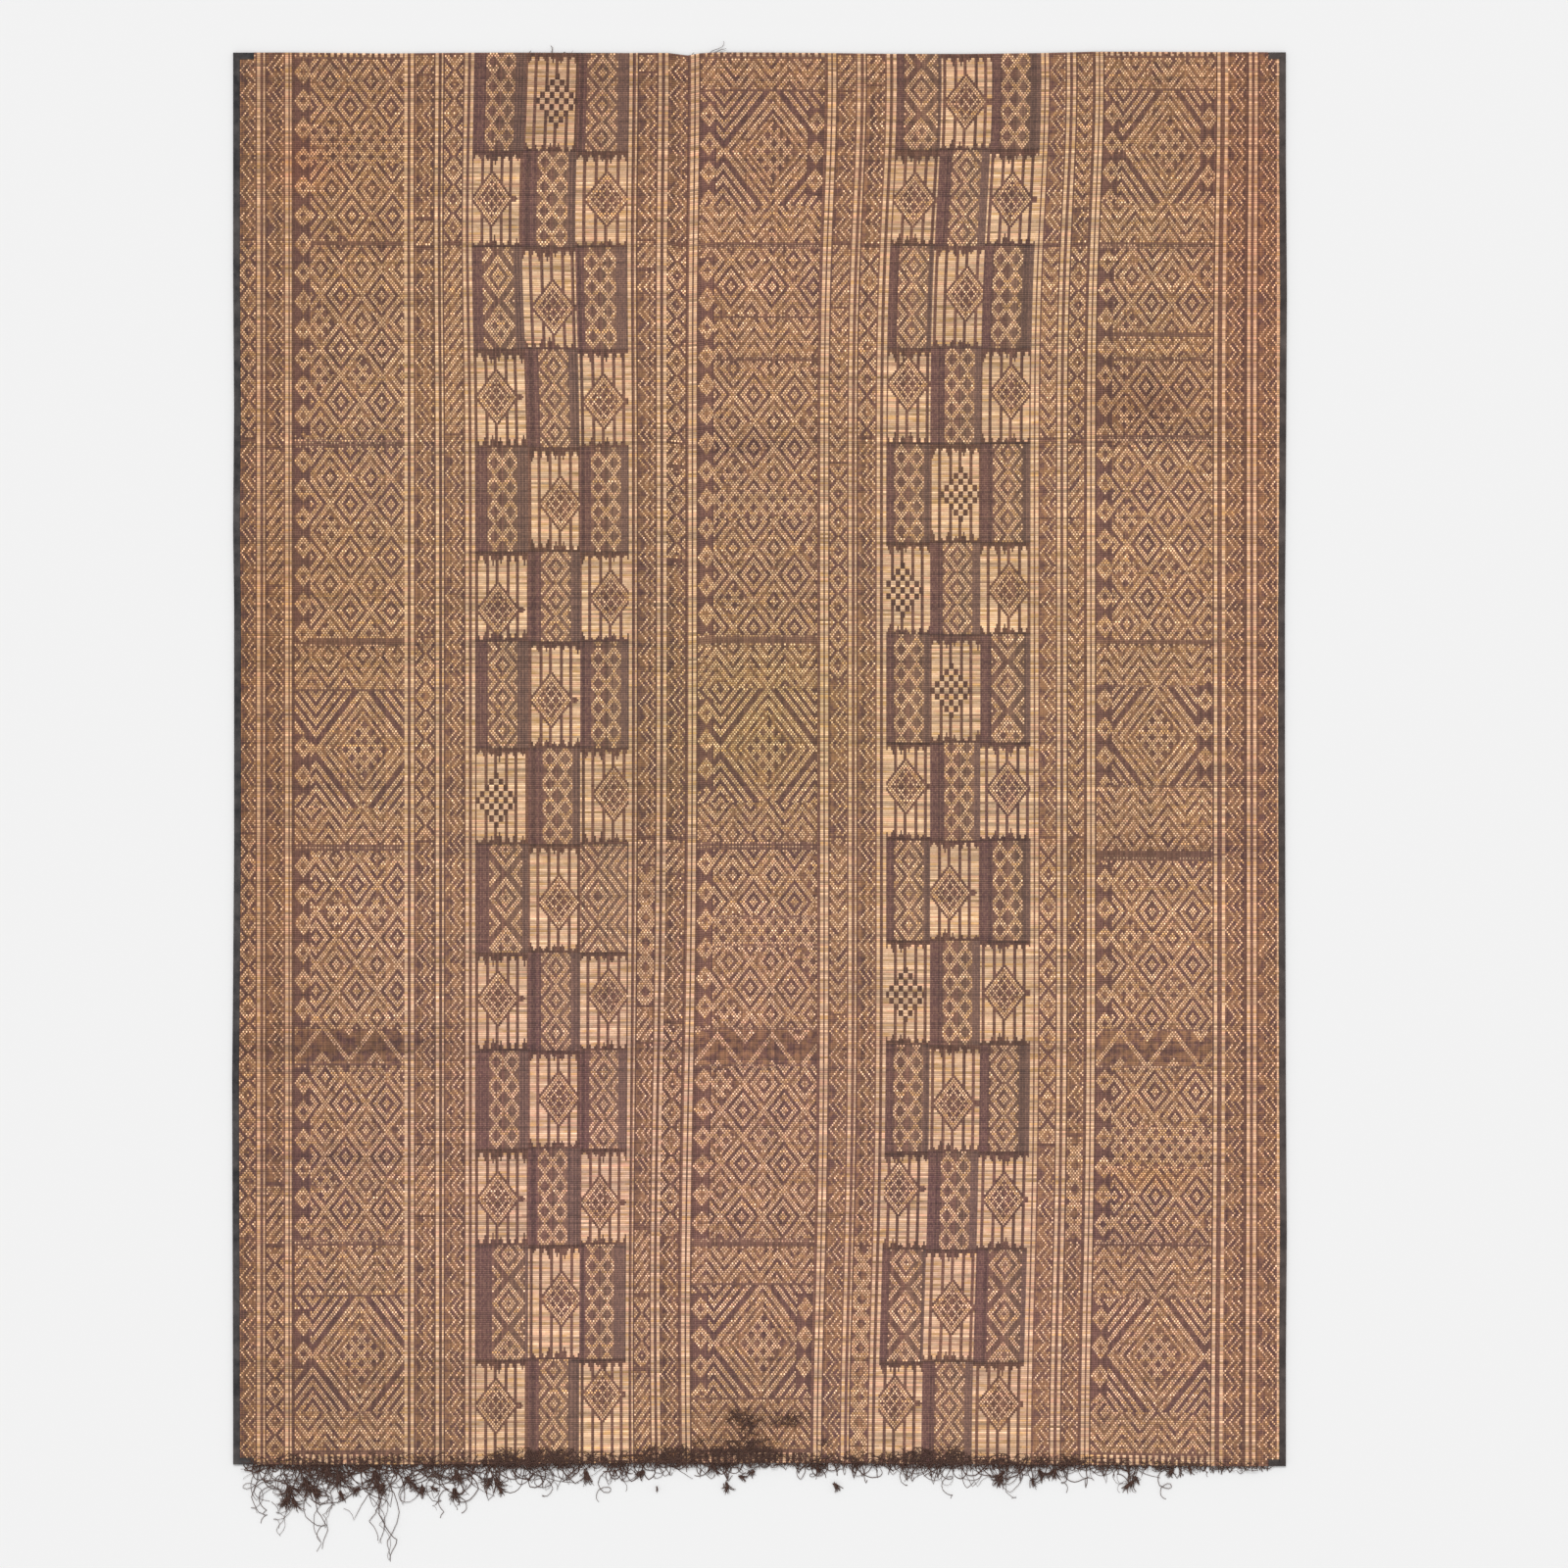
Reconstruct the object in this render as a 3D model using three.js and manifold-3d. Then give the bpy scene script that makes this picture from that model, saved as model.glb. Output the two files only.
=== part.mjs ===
// A large flat floor mat. Thin reeds lie side by side, and narrow leather strips run across
// them, over and under, and hold them together. Cloth tape is folded over both long edges and
// turns a little way round each corner. The ends of the leather hang loose along the foot as a
// tangled fringe.
//
// Millimetres, +Z up. X runs along the reeds, +Y towards the head of the mat, and the origin is
// the middle of its underside.

import * as THREE from "three";
import { mergeVertices } from "three/addons/utils/BufferGeometryUtils.js";
import Module from "manifold-3d";

const wasm = await Module();
wasm.setup();

// Driving dimensions
const mat = { width: 1933, length: 2594, thickness: 5 };
const reedEnds = { low: 1.1, high: 4.3 }; // the bare reeds that the tape grips
const tape = { face: 12.6, thickness: 0.8, height: 5.4 };
const tapeReturn = { left: 38, right: 32 }; // how far the tape turns along the head and foot
const clearance = 0.3; // between pieces
const past = 1; // how far a cutter runs past what it cuts

const fringeStrip = { width: 6, height: 3 };
const strand = { spacing: 9, rootInset: 4, shortest: 10, stepLength: 24, fewestSteps: 3 };
const strandRoot = { width: 4, height: 2.4 };
const strandTip = { width: 1.5, height: 1.2 };
const sway = { broad: 0.18, broadWave: 120, fine: 0.08, fineWave: 60, curl: 5, curlWave: 26 };

// How far each edge wanders out from its straight line, at places along it.
const leftWander = [
  { at: -1200, out: 0 },
  { at: -586, out: 1.8 },
  { at: -400, out: 0 },
  { at: -154, out: -1.8 },
  { at: 278, out: -1.8 },
  { at: 422, out: 0 },
  { at: 640, out: -1.6 },
  { at: 900, out: 0 },
];
const rightWander = [
  { at: -1100, out: 0 },
  { at: -874, out: 1.6 },
  { at: -600, out: 0 },
  { at: -10, out: -1.8 },
  { at: 278, out: -1.8 },
  { at: 500, out: 0 },
  { at: 854, out: 1.8 },
  { at: 1100, out: 0 },
];
const headWander = [
  { at: -860, out: 0 },
  { at: -684, out: -1.8 },
  { at: -450, out: 0.4 },
  { at: -320, out: -2 },
  { at: -210, out: -0.6 },
  { at: -151, out: -1 },
  { at: -146, out: -5.4 }, // a piece has broken away here
  { at: -118, out: -5.6 },
  { at: -104, out: 0.4 },
  { at: 40, out: 0 },
  { at: 310, out: -3.2 },
  { at: 500, out: -1.4 },
  { at: 620, out: 1.6 },
  { at: 880, out: 0.6 },
];
const footWander = [
  { at: -820, out: -1.6 },
  { at: -500, out: -2.4 },
  { at: -220, out: -5 },
  { at: 60, out: -4.6 },
  { at: 340, out: -3 },
  { at: 640, out: -0.8 },
  { at: 860, out: 1.4 },
];

// How far the mass of the fringe reaches past the foot.
const fringeReach = [
  { at: -925, reach: 50 },
  { at: -880, reach: 78 },
  { at: -820, reach: 96 },
  { at: -780, reach: 44 },
  { at: -700, reach: 112 },
  { at: -650, reach: 96 },
  { at: -610, reach: 54 },
  { at: -560, reach: 72 },
  { at: -440, reach: 52 },
  { at: -396, reach: 68 },
  { at: -300, reach: 48 },
  { at: -184, reach: 32 },
  { at: -58, reach: 32 },
  { at: 20, reach: 20 },
  { at: 112, reach: 32 },
  { at: 346, reach: 40 },
  { at: 472, reach: 48 },
  { at: 668, reach: 38 },
  { at: 790, reach: 20 },
  { at: 915, reach: 12 },
];

// What stands out from the mass: strands matted into thick locks, and the longest single ones.
const standouts = [
  { at: -918, length: 112, width: 3 },
  { at: -878, length: 143, width: 3 },
  { at: -858, length: 92, width: 18 },
  { at: -830, length: 66, width: 12 },
  { at: -812, length: 167, width: 3 },
  { at: -792, length: 36, width: 14 },
  { at: -768, length: 68, width: 13 },
  { at: -740, length: 54, width: 13 },
  { at: -702, length: 158, width: 3 },
  { at: -682, length: 182, width: 3 },
  { at: -630, length: 60, width: 12 },
  { at: -592, length: 112, width: 3 },
  { at: -558, length: 66, width: 12 },
  { at: -512, length: 104, width: 3 },
  { at: -498, length: 52, width: 12 },
  { at: -476, length: 56, width: 10 },
  { at: -396, length: 84, width: 3 },
  { at: -317, length: 38, width: 16 },
  { at: -293, length: 93, width: 3 },
  { at: -218, length: 34, width: 18 },
  { at: -184, length: 55, width: 3 },
  { at: -84, length: 24, width: 20 },
  { at: -40, length: 54, width: 10 },
  { at: 61, length: 34, width: 3 },
  { at: 112, length: 58, width: 3 },
  { at: 140, length: 32, width: 14 },
  { at: 263, length: 65, width: 3 },
  { at: 346, length: 76, width: 3 },
  { at: 441, length: 50, width: 12 },
  { at: 472, length: 94, width: 3 },
  { at: 520, length: 44, width: 16 },
  { at: 554, length: 61, width: 3 },
  { at: 679, length: 56, width: 12 },
  { at: 740, length: 68, width: 3 },
  { at: 817, length: 26, width: 3 },
];

const lookUp = (rows, at, column) => {
  const last = rows.length - 1;
  if (at <= rows[0].at) return rows[0][column];
  if (at >= rows[last].at) return rows[last][column];
  const next = rows.findIndex((row) => row.at > at);
  const [a, b] = [rows[next - 1], rows[next]];
  return a[column] + ((b[column] - a[column]) * (at - a.at)) / (b.at - a.at);
};

const leftX = (y) => -mat.width / 2 - lookUp(leftWander, y, "out");
const rightX = (y) => mat.width / 2 + lookUp(rightWander, y, "out");
const headY = (x) => mat.length / 2 + lookUp(headWander, x, "out");
const footY = (x) => -mat.length / 2 - lookUp(footWander, x, "out");

const point = (x, y) => new THREE.Vector2(x, y);

const solidOf = (geometry) => {
  geometry.deleteAttribute("normal");
  geometry.deleteAttribute("uv");
  const merged = mergeVertices(geometry, 1e-4);
  const vertProperties = new Float32Array(merged.attributes.position.array);
  const triVerts = new Uint32Array(merged.index.array);
  return new wasm.Manifold(new wasm.Mesh({ numProp: 3, vertProperties, triVerts }));
};

// A flat outline raised from one height to another.
const plate = (points, low, high) => {
  const options = { depth: high - low, bevelEnabled: false };
  const geometry = new THREE.ExtrudeGeometry(new THREE.Shape(points), options);
  return solidOf(geometry.translate(0, 0, low));
};

const meshOf = (name, solid, material) => {
  const { vertProperties, triVerts } = solid.getMesh();
  const geometry = new THREE.BufferGeometry();
  geometry.setAttribute("position", new THREE.BufferAttribute(vertProperties, 3));
  geometry.setIndex(new THREE.BufferAttribute(triVerts, 1));
  geometry.computeVertexNormals();
  const mesh = new THREE.Mesh(geometry, material);
  mesh.name = name;
  return mesh;
};

// The outline of the whole mat, anticlockwise from its lower left corner.
const matOutline = () => {
  const inside = (rows, limit) => rows.filter((row) => Math.abs(row.at) < limit);
  const across = mat.width / 2 - tape.face;
  const along = mat.length / 2 - tape.face;
  return [
    point(leftX(-mat.length / 2), footY(-mat.width / 2)),
    ...inside(footWander, across).map(({ at }) => point(at, footY(at))),
    point(rightX(-mat.length / 2), footY(mat.width / 2)),
    ...inside(rightWander, along).map(({ at }) => point(rightX(at), at)),
    point(rightX(mat.length / 2), headY(mat.width / 2)),
    ...inside(headWander, across).map(({ at }) => point(at, headY(at))).reverse(),
    point(leftX(mat.length / 2), headY(-mat.width / 2)),
    ...inside(leftWander, along).map(({ at }) => point(leftX(at), at)).reverse(),
  ];
};

// The tape seen from above: a long strip down one edge, turned round both corners. Its outer
// edges move in by outer, its inner edges by inner, and its two ends lengthen by inner too.
const tapeOutline = (side, outer, inner) => {
  const left = side === "left";
  const [edgeX, rows, inwards] = left ? [leftX, leftWander, 1] : [rightX, rightWander, -1];
  const face = tape.face + inner;
  const endX = inwards * (tapeReturn[side] + inner - mat.width / 2);
  const edge = (y, depth) => point(edgeX(y) + inwards * depth, y);
  const [head, foot] = [headY(edgeX(0)), footY(edgeX(0))];
  const bends = rows.map(({ at }) => at);
  return [
    edge(foot + outer, outer),
    ...bends.map((y) => edge(y, outer)),
    edge(head - outer, outer),
    point(endX, headY(endX) - outer),
    point(endX, headY(endX) - face),
    edge(head - face, face),
    ...bends.map((y) => edge(y, face)).reverse(),
    edge(foot + face, face),
    point(endX, footY(endX) + face),
    point(endX, footY(endX) + outer),
  ];
};

const tapeSpace = (side, { outer, inner, low, high }) =>
  plate(tapeOutline(side, outer, inner), low, high);

const binding = (side) => {
  const whole = { outer: 0, inner: 0, low: 0, high: tape.height };
  const hollow = {
    outer: tape.thickness,
    inner: past,
    low: tape.thickness,
    high: tape.height - tape.thickness,
  };
  return tapeSpace(side, whole).subtract(tapeSpace(side, hollow));
};

// The woven field, thinned to the bare reeds where the tape grips it.
const wovenMat = () => {
  const reach = tape.thickness + clearance;
  const room = { outer: -past, inner: clearance };
  let solid = plate(matOutline(), 0, mat.thickness);
  for (const side of ["left", "right"]) {
    const above = tapeSpace(side, { ...room, low: reedEnds.high, high: tape.height + past });
    const below = tapeSpace(side, { ...room, low: -past, high: reedEnds.low });
    const around = tapeSpace(side, { ...room, low: -past, high: tape.height + past });
    const kept = { outer: reach, inner: tape.face, low: -2 * past, high: tape.height + 2 * past };
    const rim = around.subtract(tapeSpace(side, kept));
    solid = solid.subtract(above).subtract(below).subtract(rim);
  }
  return solid;
};

// The line of a strand that starts at x on the foot: where it is at a distance from the foot.
// Neighbours lean and curl together, so no two cross.
const strandLine = (x, distance) => {
  const lean =
    sway.broad * Math.sin(x / sway.broadWave) + sway.fine * Math.sin(x / sway.fineWave + 1);
  const loose = THREE.MathUtils.clamp(distance / sway.curlWave, 0, 1);
  const curl = sway.curl * loose * Math.sin(distance / sway.curlWave + x / sway.fineWave);
  return point(x + lean * Math.max(distance, 0) + curl, footY(x) - clearance - distance);
};

// A three-sided strand, flat side down, bent along its line. widthAt gives its width from the
// root, 0, to the tip, 1.
const strandSolid = (x, length, widthAt) => {
  const steps = Math.max(strand.fewestSteps, Math.round(length / strand.stepLength) + 1);
  const geometry = new THREE.CylinderGeometry(1, 1, 1, 3, steps);
  const position = geometry.attributes.position;
  const start = fringeStrip.width - strand.rootInset;
  for (let i = 0; i < position.count; i++) {
    const along = position.getY(i) + 0.5;
    const distance = start + (length - start) * along;
    const here = strandLine(x, distance);
    const heading = strandLine(x, distance + 1).sub(strandLine(x, distance - 1)).normalize();
    const sideways = (position.getX(i) / Math.sqrt(3)) * widthAt(along);
    const height = THREE.MathUtils.lerp(strandRoot.height, strandTip.height, along);
    const up = Math.max(0, (position.getZ(i) + 0.5) / 1.5 - 1e-6) * height;
    position.setXYZ(i, here.x + heading.y * sideways, here.y - heading.x * sideways, up);
  }
  return solidOf(geometry);
};

const plainWidth = (along) => THREE.MathUtils.lerp(strandRoot.width, strandTip.width, along);

// A lock swells from its root to its middle and stays blunt at its end.
const lockWidth = (width) => (along) =>
  THREE.MathUtils.lerp(strandRoot.width, width, Math.sin(Math.PI * Math.min(along, 0.8)));

const stripSolid = () => {
  const from = tapeReturn.left - mat.width / 2 + clearance;
  const to = mat.width / 2 - tapeReturn.right - clearance;
  const bends = footWander.map(({ at }) => at).filter((at) => at > from && at < to);
  const stops = [from, ...bends, to];
  const edge = (depth) => stops.map((x) => point(x, footY(x) - clearance - depth));
  return plate([...edge(fringeStrip.width), ...edge(0).reverse()], 0, fringeStrip.height);
};

const fringe = () => {
  const margin = strandRoot.width;
  const from = tapeReturn.left - mat.width / 2 + margin;
  const to = mat.width / 2 - tapeReturn.right - margin;
  const count = Math.floor((to - from) / strand.spacing);
  const pieces = [stripSolid()];
  for (const { at, length, width } of standouts) {
    const widthAt = width > strandRoot.width ? lockWidth(width) : plainWidth;
    pieces.push(strandSolid(at, length, widthAt));
  }
  for (let i = 0; i <= count; i++) {
    const x = from + i * strand.spacing;
    const crowded = standouts.some(({ at, width }) => {
      return Math.abs(at - x) < 0.6 * width + strandRoot.width;
    });
    if (crowded) continue;
    const share = (i * 0.618) % 1; // spreads long and short strands evenly
    const length = lookUp(fringeReach, x, "reach") * (0.5 + 0.5 * share);
    pieces.push(strandSolid(x, Math.max(length, strand.shortest), plainWidth));
  }
  return wasm.Manifold.union(pieces);
};

const paint = (color, roughness) =>
  new THREE.MeshStandardMaterial({ color, roughness, metalness: 0 });
const finishes = {
  weave: paint(0x8b6a50, 0.8),
  tape: paint(0x3f4145, 0.9),
  leather: paint(0x57413a, 0.75),
};

const tuaregMat = new THREE.Group();
tuaregMat.add(
  meshOf("woven_mat", wovenMat(), finishes.weave),
  meshOf("left_binding", binding("left"), finishes.tape),
  meshOf("right_binding", binding("right"), finishes.tape),
  meshOf("fringe", fringe(), finishes.leather),
);

export default tuaregMat;
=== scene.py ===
import math
import random
import bpy
import numpy as np
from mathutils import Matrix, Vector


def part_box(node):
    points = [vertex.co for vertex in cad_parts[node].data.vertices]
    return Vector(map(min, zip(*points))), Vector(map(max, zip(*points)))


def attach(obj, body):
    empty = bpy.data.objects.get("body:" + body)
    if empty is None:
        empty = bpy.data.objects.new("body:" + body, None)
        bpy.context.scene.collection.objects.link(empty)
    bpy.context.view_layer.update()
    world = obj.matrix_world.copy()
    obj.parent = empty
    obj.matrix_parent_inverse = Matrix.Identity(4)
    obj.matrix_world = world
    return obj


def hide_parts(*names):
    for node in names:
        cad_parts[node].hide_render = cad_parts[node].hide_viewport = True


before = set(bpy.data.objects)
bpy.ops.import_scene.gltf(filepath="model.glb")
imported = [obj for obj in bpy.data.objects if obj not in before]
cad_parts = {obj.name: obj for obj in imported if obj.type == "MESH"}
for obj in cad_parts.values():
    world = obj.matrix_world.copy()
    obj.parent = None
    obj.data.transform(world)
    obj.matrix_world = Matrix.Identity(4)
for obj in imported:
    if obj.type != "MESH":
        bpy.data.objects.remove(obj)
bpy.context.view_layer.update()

# A large floor mat of thin reeds and narrow leather strips, with cloth tape on both long edges and
# a loose leather fringe along the foot. Metres, as in the frame: +X along the reeds, +Y to the head.

mm = 0.001
picture = {"size": 1600, "middleX": 775, "middleY": 774.5, "metresPerPixel": 1.8 * mm}


def acrossAt(px):
    return (px - picture["middleX"]) * picture["metresPerPixel"]


def upAt(py):
    return (picture["middleY"] - py) * picture["metresPerPixel"]


# Nodes, for finishes and for shapes


class Wire:
    # A socket that can be used in sums. Each operator adds one math node.
    def __init__(self, graph, socket):
        self.graph = graph
        self.socket = socket

    def math(self, operation, *values):
        return self.graph.math(operation, self, *values)

    def __rsub__(self, other):
        return self.graph.math("SUBTRACT", other, self)

    def ramp(self, low, slope, top=1):
        return ((self - low) * slope).most(0).least(top)


def mathMethod(operation):
    return lambda self, *others: self.math(operation, *others)


wireMethods = {
    "__add__": "ADD", "__radd__": "ADD", "__sub__": "SUBTRACT", "__mul__": "MULTIPLY",
    "__rmul__": "MULTIPLY", "__truediv__": "DIVIDE", "__mod__": "FLOORED_MODULO", "__pow__": "POWER",
    "__lt__": "LESS_THAN", "__gt__": "GREATER_THAN", "__abs__": "ABSOLUTE", "floor": "FLOOR",
    "fold": "PINGPONG", "most": "MAXIMUM", "least": "MINIMUM",
}
for method, operation in wireMethods.items():
    setattr(Wire, method, mathMethod(operation))


class Graph:
    def __init__(self, tree):
        self.tree = tree

    def add(self, kind, settings=None, sockets=None, out=0):
        node = self.tree.nodes.new(kind)
        for name, value in (settings or {}).items():
            setattr(node, name, value)
        for name, value in (sockets or {}).items():
            if isinstance(value, Wire):
                self.tree.links.new(value.socket, node.inputs[name])
            else:
                node.inputs[name].default_value = value
        return Wire(self, node.outputs[out])

    def math(self, operation, *values):
        return self.add("ShaderNodeMath", {"operation": operation}, dict(enumerate(values)))

    def parts(self, vector):
        self.add("ShaderNodeSeparateXYZ", None, {0: vector})
        return [Wire(self, socket) for socket in self.tree.nodes[-1].outputs]

    def vector(self, x, y, z=0.0):
        return self.add("ShaderNodeCombineXYZ", None, {0: x, 1: y, 2: z})

    def place(self):
        return self.add("ShaderNodeTexCoord", None, None, "Object")

    def map(self, name):
        return self.parts(self.add("ShaderNodeUVMap", {"uv_map": name}))

    def attribute(self, name):
        return self.add("ShaderNodeAttribute", {"attribute_name": name}, None, "Vector")

    def mix(self, share, a, b):
        return self.add("ShaderNodeMix", {"data_type": "RGBA"}, {0: share, 6: a, 7: b}, 2)

    def times(self, colour, strength):
        sockets = {0: colour, "Scale": strength}
        return self.add("ShaderNodeVectorMath", {"operation": "SCALE"}, sockets)

    def chance(self, x, y):
        spot = self.vector(x, y)
        return self.add("ShaderNodeTexWhiteNoise", {"noise_dimensions": "2D"}, {"Vector": spot})

    def noise(self, place, scale, detail=2.0, roughness=0.5):
        values = {"Vector": place, "Scale": scale, "Detail": detail, "Roughness": roughness}
        return self.add("ShaderNodeTexNoise", None, values)


def linear(red, green, blue):
    def one(value):
        value /= 255
        return value / 12.92 if value <= 0.04045 else ((value + 0.055) / 1.055) ** 2.4

    return (one(red), one(green), one(blue), 1.0)


def finish(name):
    material = bpy.data.materials.new(name)
    material.use_nodes = True
    material.node_tree.nodes.clear()
    return material, Graph(material.node_tree)


def surface(graph, colour, roughness, height=None, depth=1.0, **fixed):
    values = {"Base Color": colour, "Roughness": roughness, **fixed}
    if height is not None:
        values["Normal"] = graph.add("ShaderNodeBump", None, {"Height": height, "Distance": depth})
    shader = graph.add("ShaderNodeBsdfPrincipled", None, values)
    output = graph.tree.nodes.new("ShaderNodeOutputMaterial")
    graph.tree.links.new(shader.socket, output.inputs["Surface"])


def addObject(name, data):
    made = bpy.data.objects.new(name, data)
    bpy.context.scene.collection.objects.link(made)
    return made


# The mat's four edges, as the frame has them


def edgeLine(node, along, outward, limit, depth):
    places = np.array([v.co[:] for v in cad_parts[node].data.vertices])
    across = places[:, 1 - along] * outward
    near = (across > across.max() - depth) & (np.abs(places[:, along]) < limit)
    furthest = {}
    for place, reach in zip(places[near, along].round(5), across[near]):
        furthest[place] = max(reach, furthest.get(place, -1e9))
    stops = sorted(furthest)
    reaches = [furthest[stop] * outward for stop in stops]
    return lambda at: np.interp(at, stops, reaches)


straight = {"long": 1.28, "short": 0.92}  # how far from the middle the edges are read
leftEdge = edgeLine("left_binding", 1, -1, straight["long"], 3.8 * mm)
rightEdge = edgeLine("right_binding", 1, 1, straight["long"], 3.8 * mm)
headEdge = edgeLine("woven_mat", 0, 1, straight["short"], 12 * mm)
footEdge = edgeLine("woven_mat", 0, -1, straight["short"], 12 * mm)
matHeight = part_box("woven_mat")[1].z
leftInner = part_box("left_binding")[1].x
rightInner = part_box("right_binding")[0].x

# The weave's plan. Strips are counted from the left tape, and reeds from the head.

weave = {
    "reeds": 690,
    "headRow": 54.0,  # picture row of the first reed
    "reedPixels": 2.088,
    "firstColumn": 245.0,  # picture column of strip 0
    "stripPixels": 1.6,
    "valley": 0.8 * mm,  # how far the surface dips between two reeds
    "unevenness": 0.25 * mm,
    "waviness": 0.5 * mm,
    "gripLow": 1.25 * mm,  # underside and top of the bare reeds in the tape
    "gripHigh": 4.15 * mm,
}
# Picture rows of the ticks along the head and the foot.
borderRows = {"head": (54, 59), "foot": (1485, 1496)}
# Picture columns of the mat's edges and rims, of the tapes' inner edges and of their turned ends,
# and the columns between which the mesh follows each edge.
matColumns = {
    "edges": (238.0, 1312.0), "rims": (238.7, 1311.4), "tapes": (245.1, 245.9, 1304.2, 1305.0),
    "turned": (259.4, 1292.6, 1294.2), "byLeft": (240, 246.5), "byRight": (1303.5, 1308),
    "firstStrip": 245, "lastStrip": 1304,
}
planEnds = (-5, 664.5)  # strips where the plan's first column starts and its last one ends


def reedAt(py):
    return int(round((py - weave["headRow"]) / weave["reedPixels"]))


def stripAt(px):
    return (px - weave["firstColumn"]) / weave["stripPixels"]


# Where the bands lean out of line: picture column and row, reach across and down, columns moved.
sways = [
    (985, 80, 230, 175, 12),
    (550, 230, 80, 150, -7),
    (690, 1270, 45, 280, -6),
    (960, 1500, 260, 250, -9),
]


def swayAt(px, py):
    moved = 0
    for column, row, reach, drop, shift in sways:
        moved = moved + shift * np.exp(-(((px - column) / reach) ** 2) - ((py - row) / drop) ** 2)
    fadeWidth = 40  # columns over which it fades towards the tapes
    edge = np.minimum(px - matColumns["firstStrip"], matColumns["lastStrip"] - px)
    return moved * np.clip(edge / fadeWidth, 0, 1)


# Bands of pattern between the first and the last strip, and the bare stripes that part them.
bands = {
    "A1": (0, 10), "A2": (17, 28), "F1": (35, 105), "B1": (112, 124), "B2": (131, 143),
    "C1": (150, 248), "B3": (254, 265), "B4": (272, 284), "F2": (292, 368), "B5": (376, 387),
    "B6": (394, 405), "C2": (412, 504), "B7": (510, 520), "B8": (528, 538), "F3": (546, 620),
    "A3": (628, 640), "A4": (649, 661),
}
columnCuts = {
    "A1": [9], "F1": [45, 75, 95], "C1": [184, 217], "F2": [302, 330, 358], "C2": [440, 472],
    "F3": [556, 584, 610],
}
# Two bare stripes in the gap that starts at each strip: where the first one starts and its width,
# then the same for the second.
bareStripes = {
    10: (1, 2, 5, 1), 28: (1, 2, 4, 1), 105: (0, 2, 4, 2), 124: (1, 2, 5, 1), 143: (1, 2, 5, 2),
    248: (0, 2, 4, 1), 265: (1, 2, 5, 2), 284: (2, 2, 5, 2), 368: (2, 2, 5, 2), 387: (1, 2, 5, 1),
    405: (1, 2, 5, 2), 504: (0, 2, 3, 2), 520: (1, 2, 5, 2), 538: (2, 2, 5, 2), 620: (1, 2, 6, 2),
    640: (2, 2, 6, 2), 661: (0, 1, 1, 1),
}

# Motifs. Steps are counted from a middle, one for each strip across and each reed down, and folded
# back every turnAcross strips and turnDown reeds. Rings of dots lie between the steps from and to,
# each thick steps wide, one every period steps. Past outer lie more rings, 3 steps wide, one every
# 6 steps. A core fills what the rings leave: its whole part is the size of its small diamonds, and
# the rest of it is the share of the middles that have them, while the others get more rings.
# Width is how far a motif reaches to each side, and side counts from the band's left instead.
farAway = 2000
kinds = ["plain", "dotted", "panel", "blossom", "stripes", "border", "rows"]
motifs = {
    "zig": {"side": 1, "turnDown": 6, "from": 4, "to": 14, "period": 4, "thick": 1},
    "zigSlow": {"side": 1, "turnDown": 8, "from": 4, "to": 16, "period": 4, "thick": 1},
    "long": {"side": 1, "to": farAway, "period": 6, "thick": 3},
    "chevron": {"to": farAway, "period": 6, "thick": 3},
    "chain": {"turnDown": 7, "to": 6, "period": 6, "thick": 3, "outer": 10},
    "chainBig": {"turnDown": 8, "to": 6, "period": 6, "thick": 3, "outer": 10},
    "cross": {"turnAcross": 6, "turnDown": 6, "from": 4, "to": 8, "period": 6, "thick": 5},
    "nested": {"turnAcross": 13, "turnDown": 13, "from": 10, "to": 14, "core": 4.45, "outer": 18},
    "lattice": {"from": farAway, "to": farAway, "core": 4.99},
    "small": {"turnDown": 7, "from": 2, "to": 5},
    "big": {"turnAcross": 30, "from": 17, "to": 30, "core": 4.99, "outer": 36},
    "zigField": {"turnAcross": 11, "to": farAway},
    "apart": {"turnAcross": 17, "to": farAway, "period": 14},
    "rows": {"kind": "rows"},
    "panel": {"kind": "panel", "from": 10, "to": 12, "core": 3.99},
    "blossom": {"kind": "blossom", "to": -8},
    "darkLattice": {"turnAcross": 5, "turnDown": 6, "from": 5, "to": 7, "width": 9},
    "darkChain": {"turnDown": 8, "from": 6, "to": 8, "core": 4.01, "width": 9, "outer": 12},
    "darkBig": {"turnDown": 12, "from": 8, "to": 10, "core": 4.3, "width": 10, "outer": 16},
    "darkZig": {"side": 1, "turnDown": 14, "from": 2, "to": 30, "period": 6, "width": 18},
    "border": {"kind": "border"},
}

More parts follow.
